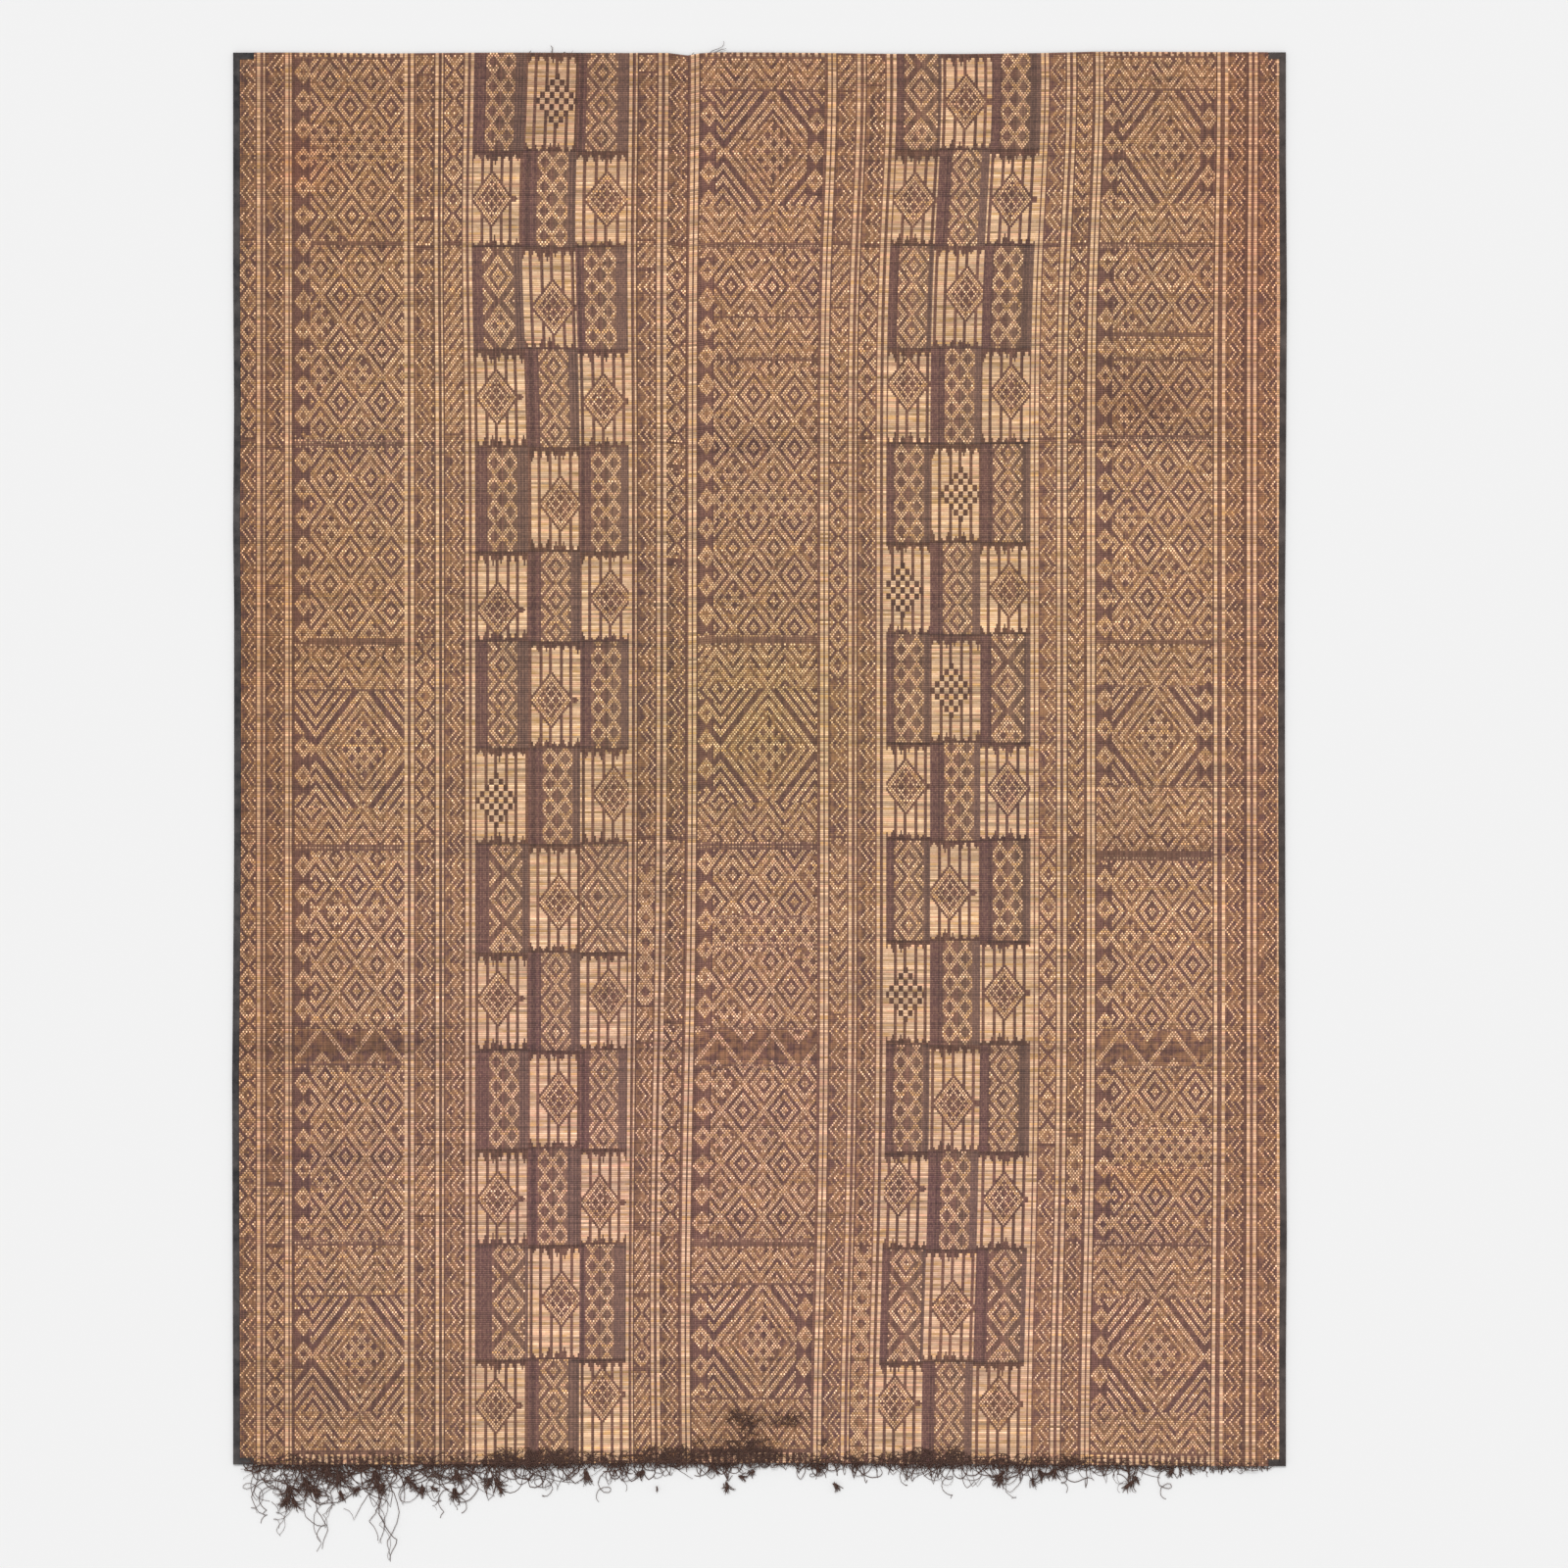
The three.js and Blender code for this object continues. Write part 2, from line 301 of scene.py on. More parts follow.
# What each band holds from the head down, as (last picture row, motif).
narrowBands = {
    "A1": [(246, "zig"), (450, "chain"), (852, "zig"), (1265, "chain"), (1496, "zig")],
    "A2": [(460, "zig"), (600, "long"), (1210, "zig"), (1273, "long"), (1496, "chain")],
    "B1": [(78, "long"), (225, "zig"), (254, "long"), (652, "zig"), (860, "chain"), (1170, "zig"),
           (1243, "long"), (1496, "zig")],
    "B2": [(250, "chain"), (445, "long"), (1496, "zig")],
    "B3": [(75, "long"), (246, "zig"), (277, "long"), (857, "zig"), (885, "long"), (1030, "cross"),
           (1067, "long"), (1256, "zig"), (1325, "long"), (1400, "chain"), (1496, "long")],
    "B4": [(250, "zig"), (453, "chain"), (477, "long"), (573, "chain"), (857, "zig"),
           (894, "long"), (1045, "zig"), (1265, "chain"), (1496, "zig")],
    "B5": [(94, "long"), (250, "zig"), (316, "long"), (474, "chevron"), (696, "chain"),
           (856, "zig"), (1038, "chevron"), (1496, "zig")],
    "B6": [(88, "long"), (252, "zig"), (448, "chainBig"), (1274, "zig"), (1496, "cross")],
    "B7": [(252, "zig"), (450, "chevron"), (856, "zig"), (1170, "chainBig"), (1496, "zig")],
    "B8": [(215, "chevron"), (252, "zig"), (452, "chain"), (530, "long"), (856, "chevron"),
           (1160, "zig"), (1268, "cross"), (1496, "zigSlow")],
    "A3": [(1496, "zig")],
    "A4": [(1496, "zig")],
}

# The wide fields, as (first row, last row, motif, middle column, middle row). Columns and rows are
# the picture's.
fields = {
    "F1": [
        (60, 131, "nested", 337, 82), (131, 166, "lattice", 337, 150),
        (166, 247, "nested", 337, 192), (251, 449, "nested", 368, 325),
        (456, 652, "nested", 336, 484), (660, 704, "zigField", 370, 667),
        (705, 824, "big", 370, 764), (825, 862, "zigField", 370, 860),
        (868, 1050, "nested", 343, 1035), (1051, 1085, "apart", 356, 1030),
        (1087, 1266, "nested", 332, 1153), (1272, 1322, "zigField", 366, 1272),
        (1323, 1440, "big", 366, 1381), (1441, 1480, "zigField", 366, 1480),
    ],
    "F2": [
        (60, 92, "zigField", 787, 60), (93, 210, "big", 787, 152),
        (211, 248, "zigField", 787, 250), (254, 323, "nested", 765, 317),
        (326, 366, "zigField", 787, 326), (369, 500, "nested", 748, 430),
        (501, 530, "lattice", 748, 515), (531, 649, "nested", 748, 560),
        (658, 703, "zigField", 783, 658), (704, 820, "big", 783, 762),
        (821, 859, "zigField", 783, 850), (868, 936, "nested", 748, 892),
        (939, 965, "lattice", 748, 950), (968, 1051, "nested", 743, 980),
        (1052, 1088, "apart", 760, 1040), (1090, 1266, "nested", 779, 1104),
        (1274, 1312, "zigField", 776, 1274), (1313, 1428, "big", 776, 1370),
        (1429, 1480, "zigField", 776, 1480),
    ],
    "F3": [
        (60, 92, "zigField", 1191, 60), (93, 208, "big", 1191, 151),
        (209, 248, "zigField", 1191, 250), (255, 341, "nested", 1154, 282),
        (344, 366, "zigField", 1189, 344), (369, 445, "nested", 1189, 366),
        (450, 654, "nested", 1191, 525), (657, 700, "zigField", 1180, 657),
        (701, 802, "big", 1180, 752), (804, 868, "zigField", 1190, 854),
        (878, 1050, "nested", 1195, 957), (1052, 1088, "apart", 1170, 1036),
        (1090, 1150, "nested", 1157, 1137), (1151, 1190, "lattice", 1157, 1170),
        (1191, 1267, "nested", 1157, 1246), (1272, 1324, "zigField", 1179, 1272),
        (1325, 1440, "big", 1179, 1381), (1441, 1482, "zigField", 1179, 1482),
    ],
}

# Small diamonds down the left of each field, and in places down its right: the picture rows where
# a run of them starts and ends.
sideChains = {
    "F1": [(60, 445), (456, 655), (750, 812), (868, 1048), (1090, 1266), (1335, 1396)],
    "F2": [(104, 204), (263, 646), (714, 808), (868, 1048), (1090, 1266), (1322, 1425)],
    "F3": [(104, 204), (255, 445), (450, 654), (700, 800), (882, 1050), (1090, 1264), (1332, 1432)],
}
rightChains = {"F1": [], "F2": [(110, 200), (1322, 1420)], "F3": [(106, 196), (700, 796)]}

# Panels between the picture rows: three motifs from left to right, then each one's middle, as
# (picture column, picture row).
panelRows = {
    "C1": [54, 155, 253, 357, 457, 563, 655, 763, 862, 972, 1073, 1173, 1272, 1388, 1496],
    "C2": [54, 153, 250, 355, 453, 553, 648, 758, 857, 960, 1066, 1176, 1275, 1390, 1496],
}
panels = {
    "C1": [
        ("darkLattice blossom darkChain", (510, 100), (567, 100), (614, 105)),
        ("panel darkLattice panel", (501, 200), (562, 200), (618, 200)),
        ("darkBig panel darkLattice", (507, 280), (563, 310), (612, 305)),
        ("panel darkChain panel", (506, 405), (565, 405), (615, 407)),
        ("darkLattice panel darkLattice", (512, 510), (571, 512), (617, 510)),
        ("panel darkChain panel", (507, 619), (567, 610), (623, 609)),
        ("darkChain panel darkLattice", (512, 710), (561, 711), (617, 710)),
        ("blossom darkLattice panel", (506, 813), (568, 812), (625, 810)),
        ("darkBig panel darkZig", (515, 915), (570, 920), (609, 915)),
        ("panel darkChain panel", (507, 1017), (567, 1020), (621, 1017)),
        ("darkLattice panel darkChain", (514, 1120), (570, 1122), (615, 1125)),
        ("panel darkLattice panel", (507, 1222), (563, 1222), (613, 1225)),
        ("darkBig panel darkLattice", (518, 1330), (572, 1324), (612, 1330)),
        ("panel darkChain panel", (506, 1432), (564, 1432), (615, 1424)),
    ],
    "C2": [
        ("darkBig panel darkLattice", (940, 88), (985, 103), (1036, 100)),
        ("panel darkChain panel", (932, 201), (983, 200), (1032, 203)),
        ("darkChain panel darkLattice", (931, 300), (985, 299), (1027, 300)),
        ("panel darkLattice panel", (926, 389), (978, 400), (1031, 396)),
        ("darkLattice blossom darkChain", (927, 500), (980, 502), (1027, 494)),
        ("blossom darkChain panel", (921, 601), (976, 600), (1029, 601)),
        ("darkLattice blossom darkBig", (927, 700), (969, 701), (1027, 700)),
        ("panel darkLattice panel", (923, 799), (977, 800), (1028, 801)),
        ("darkChain panel darkLattice", (927, 908), (968, 908), (1028, 908)),
        ("blossom darkLattice panel", (923, 1015), (976, 1013), (1024, 1012)),
        ("darkLattice panel darkChain", (926, 1120), (972, 1125), (1024, 1120)),
        ("panel darkLattice panel", (917, 1212), (973, 1225), (1023, 1222)),
        ("darkBig panel darkBig", (923, 1336), (971, 1331), (1023, 1340)),
        ("panel darkChain panel", (912, 1432), (968, 1434), (1018, 1432)),
    ],
}


# Every face of the woven field carries its motif, in four small vectors.


def columnLines():
    lines = set(planEnds)
    for name, (first, last) in bands.items():
        lines.update((first, last))
        lines.update(columnCuts.get(name, []))
    return sorted(lines)


def facePlan(lines):
    middles = (np.array(lines[1:]) + np.array(lines[:-1])) / 2
    plan = np.zeros((len(middles), weave["reeds"], 4, 3), np.float32)

    def lay(first, last, top, bottom, name, strip, reed):
        motif = {
            "kind": "dotted", "turnAcross": farAway, "turnDown": farAway, "from": 0, "to": -9,
            "period": 6, "thick": 3, "width": farAway, "core": 0, "outer": 0, **motifs[name],
        }
        strip = int(round(strip))
        reed = int(reed)
        if (strip + reed) % 2 != motif["to"] % 2:
            reed += 1
        values = np.array([
            (strip, reed, kinds.index(motif["kind"])),
            (motif["turnAcross"], motif["turnDown"], motif["width"]),
            (motif["from"], motif["to"], motif["period"]),
            (motif["thick"], motif["core"], motif["outer"]),
        ])
        chosen = (middles > first) & (middles < last)
        plan[chosen, max(0, reedAt(top)) : reedAt(bottom)] = values

    for gap, (first, width, second, secondWidth) in bareStripes.items():
        gapEnd = min(line for line in lines if line > gap)
        plan[(middles > gap) & (middles < gapEnd)] = np.array([
            (gap + first, 0, kinds.index("stripes")),
            (second - first, secondWidth, width),
            (0, 0, 1),
            (0, 0, 0),
        ])
    (head, headEnd), (footStart, foot) = borderRows["head"], borderRows["foot"]
    for name in fields:
        first, last = bands[name]
        lay(first, last, headEnd, footStart, "rows", first, 0)
    for name, rows in narrowBands.items():
        first, last = bands[name]
        top = head + 2
        for bottom, motif in rows:
            strip = first if "side" in motifs[motif] else (first + last) // 2
            lay(first, last, top, bottom - 3, motif, strip, reedAt(top))
            top = bottom
    for name, sections in fields.items():
        first, last = bands[name]
        for top, bottom, motif, px, py in sections:
            strip = stripAt(px - swayAt(px, py))
            lay(first, last, top, bottom, motif, strip, reedAt(py))
        for top, bottom in sideChains[name]:
            lay(first, columnCuts[name][0], top, bottom, "small", first + 5, reedAt(top) + 6)
        for top, bottom in rightChains[name]:
            lay(columnCuts[name][-1], last, top, bottom, "small", last - 5, reedAt(top) + 6)
        lay(first, last, head, headEnd, "border", first, 0)
        lay(first, last, footStart, foot, "border", first, 0)
    for name, rows in panels.items():
        first, last = bands[name]
        edges = [first, *columnCuts[name], last]
        bounds = panelRows[name]
        for (names, *places), top, bottom in zip(rows, bounds, bounds[1:]):
            for cell, (motif, (px, py)) in enumerate(zip(names.split(), places)):
                strip = stripAt(px - swayAt(px, py))
                lay(edges[cell], edges[cell + 1], top, bottom, motif, strip, reedAt(py))
                if "kind" in motifs[motif]:
                    # a bare panel also carries half its height in reeds, and its middle row
                    chosen = (middles > edges[cell]) & (middles < edges[cell + 1])
                    within = chosen, slice(reedAt(top), reedAt(bottom))
                    plan[(*within, 1, 1)] = (bottom - top) / 2 / weave["reedPixels"]
                    plan[(*within, 3, 2)] = (top + bottom) / 2
    return plan


print("weave planned")


# The woven field's mesh: one ridge for each reed, on both sides.

# Soft ridges where the mat was once folded: picture row and height in mm.
creases = [(452, 0.8), (660, 1.0), (860, 1.6), (1068, 1.6), (1265, 1.2)]
creaseWidth = 9 * mm


def matStations(lines):
    # Places across the mat, as strip numbers, with close pairs where the tapes' edges are.
    columns = [*matColumns["rims"], *matColumns["tapes"], *matColumns["turned"]]
    inner = [line for line in lines if 0 < line < planEnds[1]]
    return sorted({*map(stripAt, columns), *inner})


def fieldPoints(stations, rows, seed):
    # x and y of the grid where each reed's edges and middle cross each station.
    rng = np.random.default_rng(seed)
    u, v = np.meshgrid(np.array(stations), np.array(rows))
    px = weave["firstColumn"] + u * weave["stripPixels"]
    py = weave["headRow"] + v * weave["reedPixels"]
    x = acrossAt(px + swayAt(px, py))
    straightY = upAt(py)
    left, right = leftEdge(straightY), rightEdge(straightY)
    inset = 1.1 * mm
    x[:, 0] = left[:, 0] + inset
    x[:, -1] = right[:, -1] - inset
    for near, edge, column in zip(("byLeft", "byRight"), (left, right), matColumns["edges"]):
        low, high = matColumns[near]
        x = np.where((px > low) & (px < high), edge + acrossAt(px) - acrossAt(column), x)
    share = v / weave["reeds"]
    head, foot = headEdge(x), footEdge(x)
    underTape = (x < leftInner) | (x > rightInner)
    head = np.where(underTape, head - inset, head)
    foot = np.where(underTape, foot + inset, foot)
    wave = np.sin(x * 9 + v * 0.9) * np.sin(x * 4.1 + v * 0.37) * weave["waviness"]
    wave *= np.minimum(1, np.minimum(v, weave["reeds"] - v) / 6)
    return x, head + (foot - head) * share + wave, u, v, rng


def gripped(x, y):
    # Where the tape holds the bare reeds.
    depth, rim, past = 12.9 * mm, 1.6 * mm, 0.5 * mm
    corner = (x < leftInner + past) | (x > rightInner - past)
    sides = (x < leftEdge(y) + depth) | (x > rightEdge(y) - depth)
    ends = (y > headEdge(x) - rim - depth) | (y < footEdge(x) + rim + depth)
    return sides | (corner & ends)


def lift(x, y):
    raised = 0
    for py, height in creases:
        along = 0.6 + 0.4 * np.sin(x * 5 + py)
        raised = raised + height * mm * along * np.exp(-(((y - upAt(py)) / creaseWidth) ** 2))
    return raised


def stainAndShadeAt(x, y, strips):
    tint = np.tile(weaveLook["tint"], (len(x), 1))
    pixel = picture["metresPerPixel"]
    # stains and fades, and painted shade along the creases
    for px, py, reach, drop, change in stainsAndCreaseShade:
        away = ((x - acrossAt(px)) / pixel / reach) ** 2 + ((y - upAt(py)) / pixel / drop) ** 2
        tint *= 1 + np.exp(-away)[:, None] * (np.array(change) - 1)
    # dark, uneven thread between the rows of panels
    for name, rows in panelRows.items():
        first, last = bands[name]
        within = (strips > first - 1) & (strips < last + 1)
        for row in rows[1:-1]:
            wave = 0.8 * np.sin(x * 31 + row) + 0.6 * np.sin(x * 83 + row * 2)
            near = np.exp(-(((upAt(row + wave) - y) / weaveLook["threadWidth"]) ** 2))
            tint *= 1 - weaveLook["threadDark"] * (near * within)[:, None]
    return tint


def makeField():
    lines = columnLines()
    plan = facePlan(lines)
    stations = matStations(lines)
    rows = np.arange(2 * weave["reeds"] + 1) / 2
    x, y, u, v, rng = fieldPoints(stations, rows, 5)
    crest = (np.arange(len(rows)) % 2 == 1)[:, None]
    uneven = rng.random((len(rows), 1)) * weave["unevenness"]
    high = np.where(crest, matHeight - uneven, matHeight - weave["valley"] - uneven * 0.5)
    held = gripped(x, y)
    top = np.where(held, np.minimum(high, weave["gripHigh"]), high + lift(x, y))
    under = [c for c in range(len(stations)) if c % 4 == 0 or c == len(stations) - 1]
    low = np.where(crest, 0.0, weave["valley"]) + 0 * x
    low = np.where(held, np.maximum(low, weave["gripLow"]), low + lift(x, y))
    topPoints = np.stack([x, y, top], -1).reshape(-1, 3)
    lowPoints = np.stack([x, y, low], -1)[:, under].reshape(-1, 3)
    points = np.vstack([topPoints, lowPoints])
    wide, narrow, count = len(stations), len(under), len(rows)
    base = wide * count
    faces, side, columns, reeds = [], [], [], []

    def add(points, kind, column, row):
        faces.append(points)
        side.append(kind)
        columns.append(column)
        reeds.append(min(row // 2, weave["reeds"] - 1))

    for r in range(count - 1):
        for c in range(wide - 1):
            a = r * wide + c
            add((a, a + wide, a + wide + 1, a + 1), 0, c, r)
    for r in range(count - 1):
        for c in range(narrow - 1):
            a = base + r * narrow + c
            add((a, a + 1, a + narrow + 1, a + narrow), 1, under[c], r)
        a, b = r * wide, base + r * narrow
        add((a, b, b + narrow, a + wide), 2, 0, r)
        a, b = a + wide - 1, b + narrow - 1
        add((a, a + wide, b + narrow, b), 3, wide - 2, r)
    for c in range(narrow - 1):
        tops = list(range(under[c], under[c + 1] + 1))
        add((*tops, base + c + 1, base + c), 4, under[c], 0)
        last = (count - 1) * wide
        b = base + (count - 1) * narrow + c
        add((*[last + t for t in reversed(tops)], b, b + 1), 5, under[c], count - 2)
    mesh = bpy.data.meshes.new("wovenField")
    mesh.from_pydata(points.tolist(), [], faces)
    paintField(mesh, plan, lines, stations, columns, reeds)
    tint = mesh.attributes.new("tint", "FLOAT_VECTOR", "POINT")
    strips = np.concatenate([u.reshape(-1), u[:, under].reshape(-1)])
    tint.data.foreach_set("vector", stainAndShadeAt(points[:, 0], points[:, 1], strips).reshape(-1))
    counts = np.concatenate([v.reshape(-1), v[:, under].reshape(-1)])
    corners = np.array([loop.vertex_index for loop in mesh.loops])
    weaveMap = mesh.uv_layers.new(name="weave")
    weaveMap.uv.foreach_set("vector", np.stack([strips, counts], -1)[corners].reshape(-1))
    layBakeMap(mesh, np.array(side), corners, strips, counts)
    mesh.validate()
    return addObject("wovenField", mesh)


def paintField(mesh, plan, lines, stations, columns, reeds):
    middles = (np.array(stations[1:]) + np.array(stations[:-1])) / 2
    planColumn = np.clip(np.searchsorted(lines, middles) - 1, 0, plan.shape[0] - 1)
    values = plan[planColumn[columns], reeds]
    for number, name in enumerate(["motif", "turns", "rings", "extra"]):
        made = mesh.attributes.new(name, "FLOAT_VECTOR", "FACE")
        made.data.foreach_set("vector", values[:, number].reshape(-1))


def layBakeMap(mesh, side, corners, strips, counts):
    # The patterned face gets most of this map, and the underside and rim the rest.
    across = (strips - strips.min()) / (strips.max() - strips.min())
    down = 1 - counts / weave["reeds"]
    perLoop = np.repeat(side, [p.loop_total for p in mesh.polygons])
    onTop = corners < corners[perLoop == 1].min()
    s, t = across[corners], down[corners]
    u = np.select(
        [perLoop == 0, perLoop == 1],
        [0.002 + 0.74 * s, 0.748 + 0.214 * s],
        0.952 + 0.008 * perLoop + 0.005 * onTop,
    )
    v = np.where(perLoop < 4, 0.002 + 0.996 * t, 0.002 + 0.996 * s)
    bakeMap = mesh.uv_layers.new(name="OFBake")
    bakeMap.uv.foreach_set("vector", np.stack([u, v], -1).reshape(-1))


# The finish of the weave

weaveLook = {
    "reed": linear(226, 188, 144),
    "reedPale": linear(238, 206, 170),
    "reedGold": linear(204, 160, 98),
    "reedPink": linear(220, 166, 128),
    "leather": linear(114, 78, 58),
    "leatherPurple": linear(104, 70, 64),
    "leatherPlum": linear(96, 66, 68),
    "leatherGrey": linear(106, 86, 77),
    "leatherWorn": linear(160, 123, 98),
    "leatherGold": linear(186, 140, 90),
    "tint": (1.03, 0.985, 0.99),
    "threadWidth": 1.9 * mm,  # the dark thread between the rows of panels
    "threadDark": 0.4,
    "missing": 0.035,  # share of the dots that are worn away
}

# Regions where the mat is stained or faded, and painted shade along its creases: picture column and
# row, how far it reaches across and down, and what it does to red, green and blue.
stainsAndCreaseShade = [
    (775, 50, 800, 110, (0.95, 0.91, 0.91)),  # darker head
    (370, 180, 80, 160, (0.96, 0.92, 0.85)),  # golden, top left
    (565, 95, 95, 52, (0.83, 0.81, 0.81)),  # duller first panels
    (350, 1430, 130, 60, (0.87, 0.86, 0.88)),  # browner foot, left
    (760, 250, 170, 170, (1.05, 1.0, 1.02)),  # redder, top middle
    (1280, 230, 60, 190, (0.98, 0.87, 0.85)),  # red, top right
    (1165, 412, 62, 34, (0.72, 0.64, 0.6)),  # brown patch
    (1150, 560, 90, 90, (1.16, 1.14, 1.12)),  # pale below it
    (760, 455, 60, 12, (0.8, 0.78, 0.8)),  # painted shade along the creases
    (350, 660, 110, 12, (0.86, 0.84, 0.84)),
    (1200, 866, 100, 11, (0.76, 0.74, 0.76)),
    (350, 1062, 120, 13, (0.7, 0.68, 0.7)),
    (770, 1058, 70, 11, (0.8, 0.78, 0.8)),
    (370, 1180, 130, 9, (0.86, 0.85, 0.88)),
    (1180, 1266, 70, 9, (0.82, 0.8, 0.84)),
    (775, 860, 800, 12, (0.94, 0.92, 0.93)),
    (775, 1068, 800, 12, (0.93, 0.91, 0.93)),
    (766, 735, 105, 90, (0.94, 1.0, 0.85)),  # olive, middle
    (350, 640, 110, 170, (1.02, 1.0, 0.93)),  # orange, left
    (266, 800, 52, 900, (0.88, 0.81, 0.76)),  # brown left edge
    (662, 800, 34, 300, (0.88, 0.87, 0.88)),  # darker strip right of the first panels
    (1290, 800, 45, 900, (1.04, 0.95, 0.95)),  # red right edge
    (1180, 1000, 90, 170, (1.12, 1.1, 1.13)),  # paler fields, lower right and middle
    (770, 1000, 70, 150, (1.1, 1.08, 1.12)),
    (370, 930, 90, 70, (1.06, 1.05, 1.1)),
    (620, 1180, 330, 230, (1.04, 0.99, 1.13)),  # pinkish lower half
    (1100, 1350, 260, 170, (1.04, 1.0, 1.1)),
    (307, 165, 22, 34, (1.06, 0.9, 0.86)),
    (1175, 1200, 40, 14, (1.1, 1.0, 0.78)),
    (757, 1462, 55, 30, (0.78, 0.74, 0.74)),  # darker where the tangles and the fuzz lie at the foot
    (764, 1449, 11, 11, (0.68, 0.66, 0.66)),
    (810, 1449, 12, 8, (0.72, 0.7, 0.7)),
    (764, 1478, 18, 9, (0.7, 0.68, 0.7)),
    (540, 1489, 60, 6, (0.8, 0.76, 0.76)),
    (700, 1488, 60, 8, (0.76, 0.7, 0.7)),
    (950, 1490, 60, 6, (0.86, 0.82, 0.82)),
    (400, 245, 9, 12, (0.84, 0.82, 0.86)),
    (308, 245, 10, 12, (0.84, 0.82, 0.86)),
]


def weaveFinish():
    material, g = finish("reedsAndLeather")
    u, v, _ = g.map("weave")
    place = g.place()
    i, j = u.floor(), v.floor()
    stripPart, reedPart = u - i, v - j
    strip0, reed0, kind = g.parts(g.attribute("motif"))
    turnAcross, turnDown, width = g.parts(g.attribute("turns"))
    start, end, period = g.parts(g.attribute("rings"))
    thick, core, outer = g.parts(g.attribute("extra"))
    s, t = i - strip0, j - reed0
    across, down = abs(s), abs(t)
    steps = across.fold(turnAcross) + down.fold(turnDown)
    even = ((i + j) % 2) < 0.5
    cellChance = g.chance(i, j)
    stripChance = g.chance(i, 7.5)
    reedChance = g.chance(3.5, j)

    def isKind(lowest, highest=None):
        low, high = kinds.index(lowest), kinds.index(highest or lowest)
        return (kind > low - 0.5) * (kind < high + 0.5)

    def alongReed(stretch, shift, detail):
        # noise drawn out along each reed
        return g.noise(g.vector(u * stretch, j * shift), 1.0, detail)

    # rings of dots
    isDotted = isKind("dotted")
    ringed = ((end - steps + 0.25) % period) < thick
    inRings = (steps > start - 0.5) * (steps < end + 0.5) * ringed
    coreSize = core.floor()
    middleChance = g.chance(
        (s / (turnAcross * 2) + 0.5).floor(), (t / (turnDown * 2) + 0.5).floor()
    )
    hasCore = (core > 0.5) * (steps < start - 1.5)
    small = middleChance < core - coreSize
    falling, rising = (s + t) % (coreSize * 2), (s - t) % (coreSize * 2)
    coreLine = falling.least(rising) < coreSize * 2 - 5
    inner = hasCore * (small * coreLine + (1 - small) * ringed)
    pastEnd = (outer > 0.5) * (steps > outer - 0.5)
    outerRing = isDotted * pastEnd * (((steps - outer + 0.25) % 6) < 3)
    inWidth = across < width + 0.5
    inMotif = (inRings + inner + outerRing).least(1) * inWidth * isKind("plain", "panel")
    rowLine = isKind("rows") * (reedChance > 0.6) * (g.chance(i, j + 0.5) > 0.35) * 0.7
    isWorked = (inMotif * (kind > 0.5) + rowLine).least(1)
    roundness = 1.5 - 4.4 * ((stripPart - 0.5) ** 2 + (reedPart - 0.5) ** 2)
    kept = cellChance > weaveLook["missing"]
    dots = isWorked * (even > 0.5) * kept * roundness.most(0).least(1)

    # bare panels, crossed by pairs of leather strips, with teeth at both ends
    isPanel = isKind("panel", "blossom")
    isBlossom = isKind("blossom")
    fromEnd = turnDown - abs(j - (outer - weave["headRow"]) / weave["reedPixels"])
    slope = 1 - 0.4 * abs((s % 5) - 2)
    toothLength = 0.8 + slope * (2.4 + 3.4 * g.chance((s / 5).floor(), strip0 + 21.5))
    teeth = fromEnd < toothLength
    blockAcross, blockDown = ((s + 1.5) / 3).floor(), ((t + 1.5) / 3).floor()
    inBlossom = isBlossom * ((abs(blockAcross) + abs(blockDown)) < 4.5)
    blocks = inBlossom * (((blockAcross + blockDown) % 2) < 0.5)
    line = (((s + 1.0) % 6.5) < 2) * (1 - inBlossom)
    tick = (steps < end + 5.5) * (down < 1.5) * (s > 0) * (1 - isBlossom)
    panelBare = isPanel * (steps > end + 2.5) * (1 - line) * (1 - blocks) * (1 - tick) * (1 - teeth)

    # bare stripes between the bands, and ticks along the head and foot
    firstStripe = (s > -0.5) * (s < width - 0.5)
    secondStripe = (s > turnAcross - 0.5) * (s < turnAcross + turnDown - 0.5)
    stripeBare = isKind("stripes") * (firstStripe + secondStripe)
    borderBare = isKind("border") * ((i % 4) > 1.5) * (cellChance > 0.15)
    reedOnly = (panelBare + stripeBare + borderBare).least(1)
    bare = (dots + reedOnly).least(1)

    # reeds
    patchy = g.noise(place, 11.0, 3.0)
    streak = alongReed(0.012, 3.7, 1.0)
    shortStreak = alongReed(0.05, 7.3, 2.0)
    rowStreak = alongReed(0.02, 8.37, 0.0)
    darkReed = (reedChance > 0.91) * (streak > 0.43)
    lightReed = (reedChance < 0.06) * (streak < 0.54)
    glint = (g.chance(5.5, j) > 0.72) * (alongReed(0.03, 5.37, 1.0) > 0.5)
    reedTone = 0.74 + 0.26 * reedChance + 0.3 * streak - 0.36 * darkReed + 0.16 * lightReed
    reedEdge = abs(reedPart - 0.5) * 2
    reed = g.mix(cellChance * 0.5, weaveLook["reed"], weaveLook["reedPale"])
    reed = g.mix(shortStreak.ramp(0.5, 6, 0.9), reed, weaveLook["reedGold"])
    reed = g.mix((1 - shortStreak).ramp(0.54, 7, 0.7), reed, weaveLook["reedPink"])
    spread = 0.62 - 0.54 * reedOnly
    # painted shade: each reed darker towards its edges, in the dips between reeds
    reed = g.times(reed, (1 - spread * (0.6 - cellChance)) * (1.17 - 0.76 * reedEdge**4))
    uneven = 1.2 * (0.55 - rowStreak) + 0.07 - 0.16 * (reedChance - 0.5)
    reed = g.times(reed, 1 - reedOnly * uneven)
    reed = g.times(reed, 1.03 + glint * (1 - reedOnly) * 0.55)

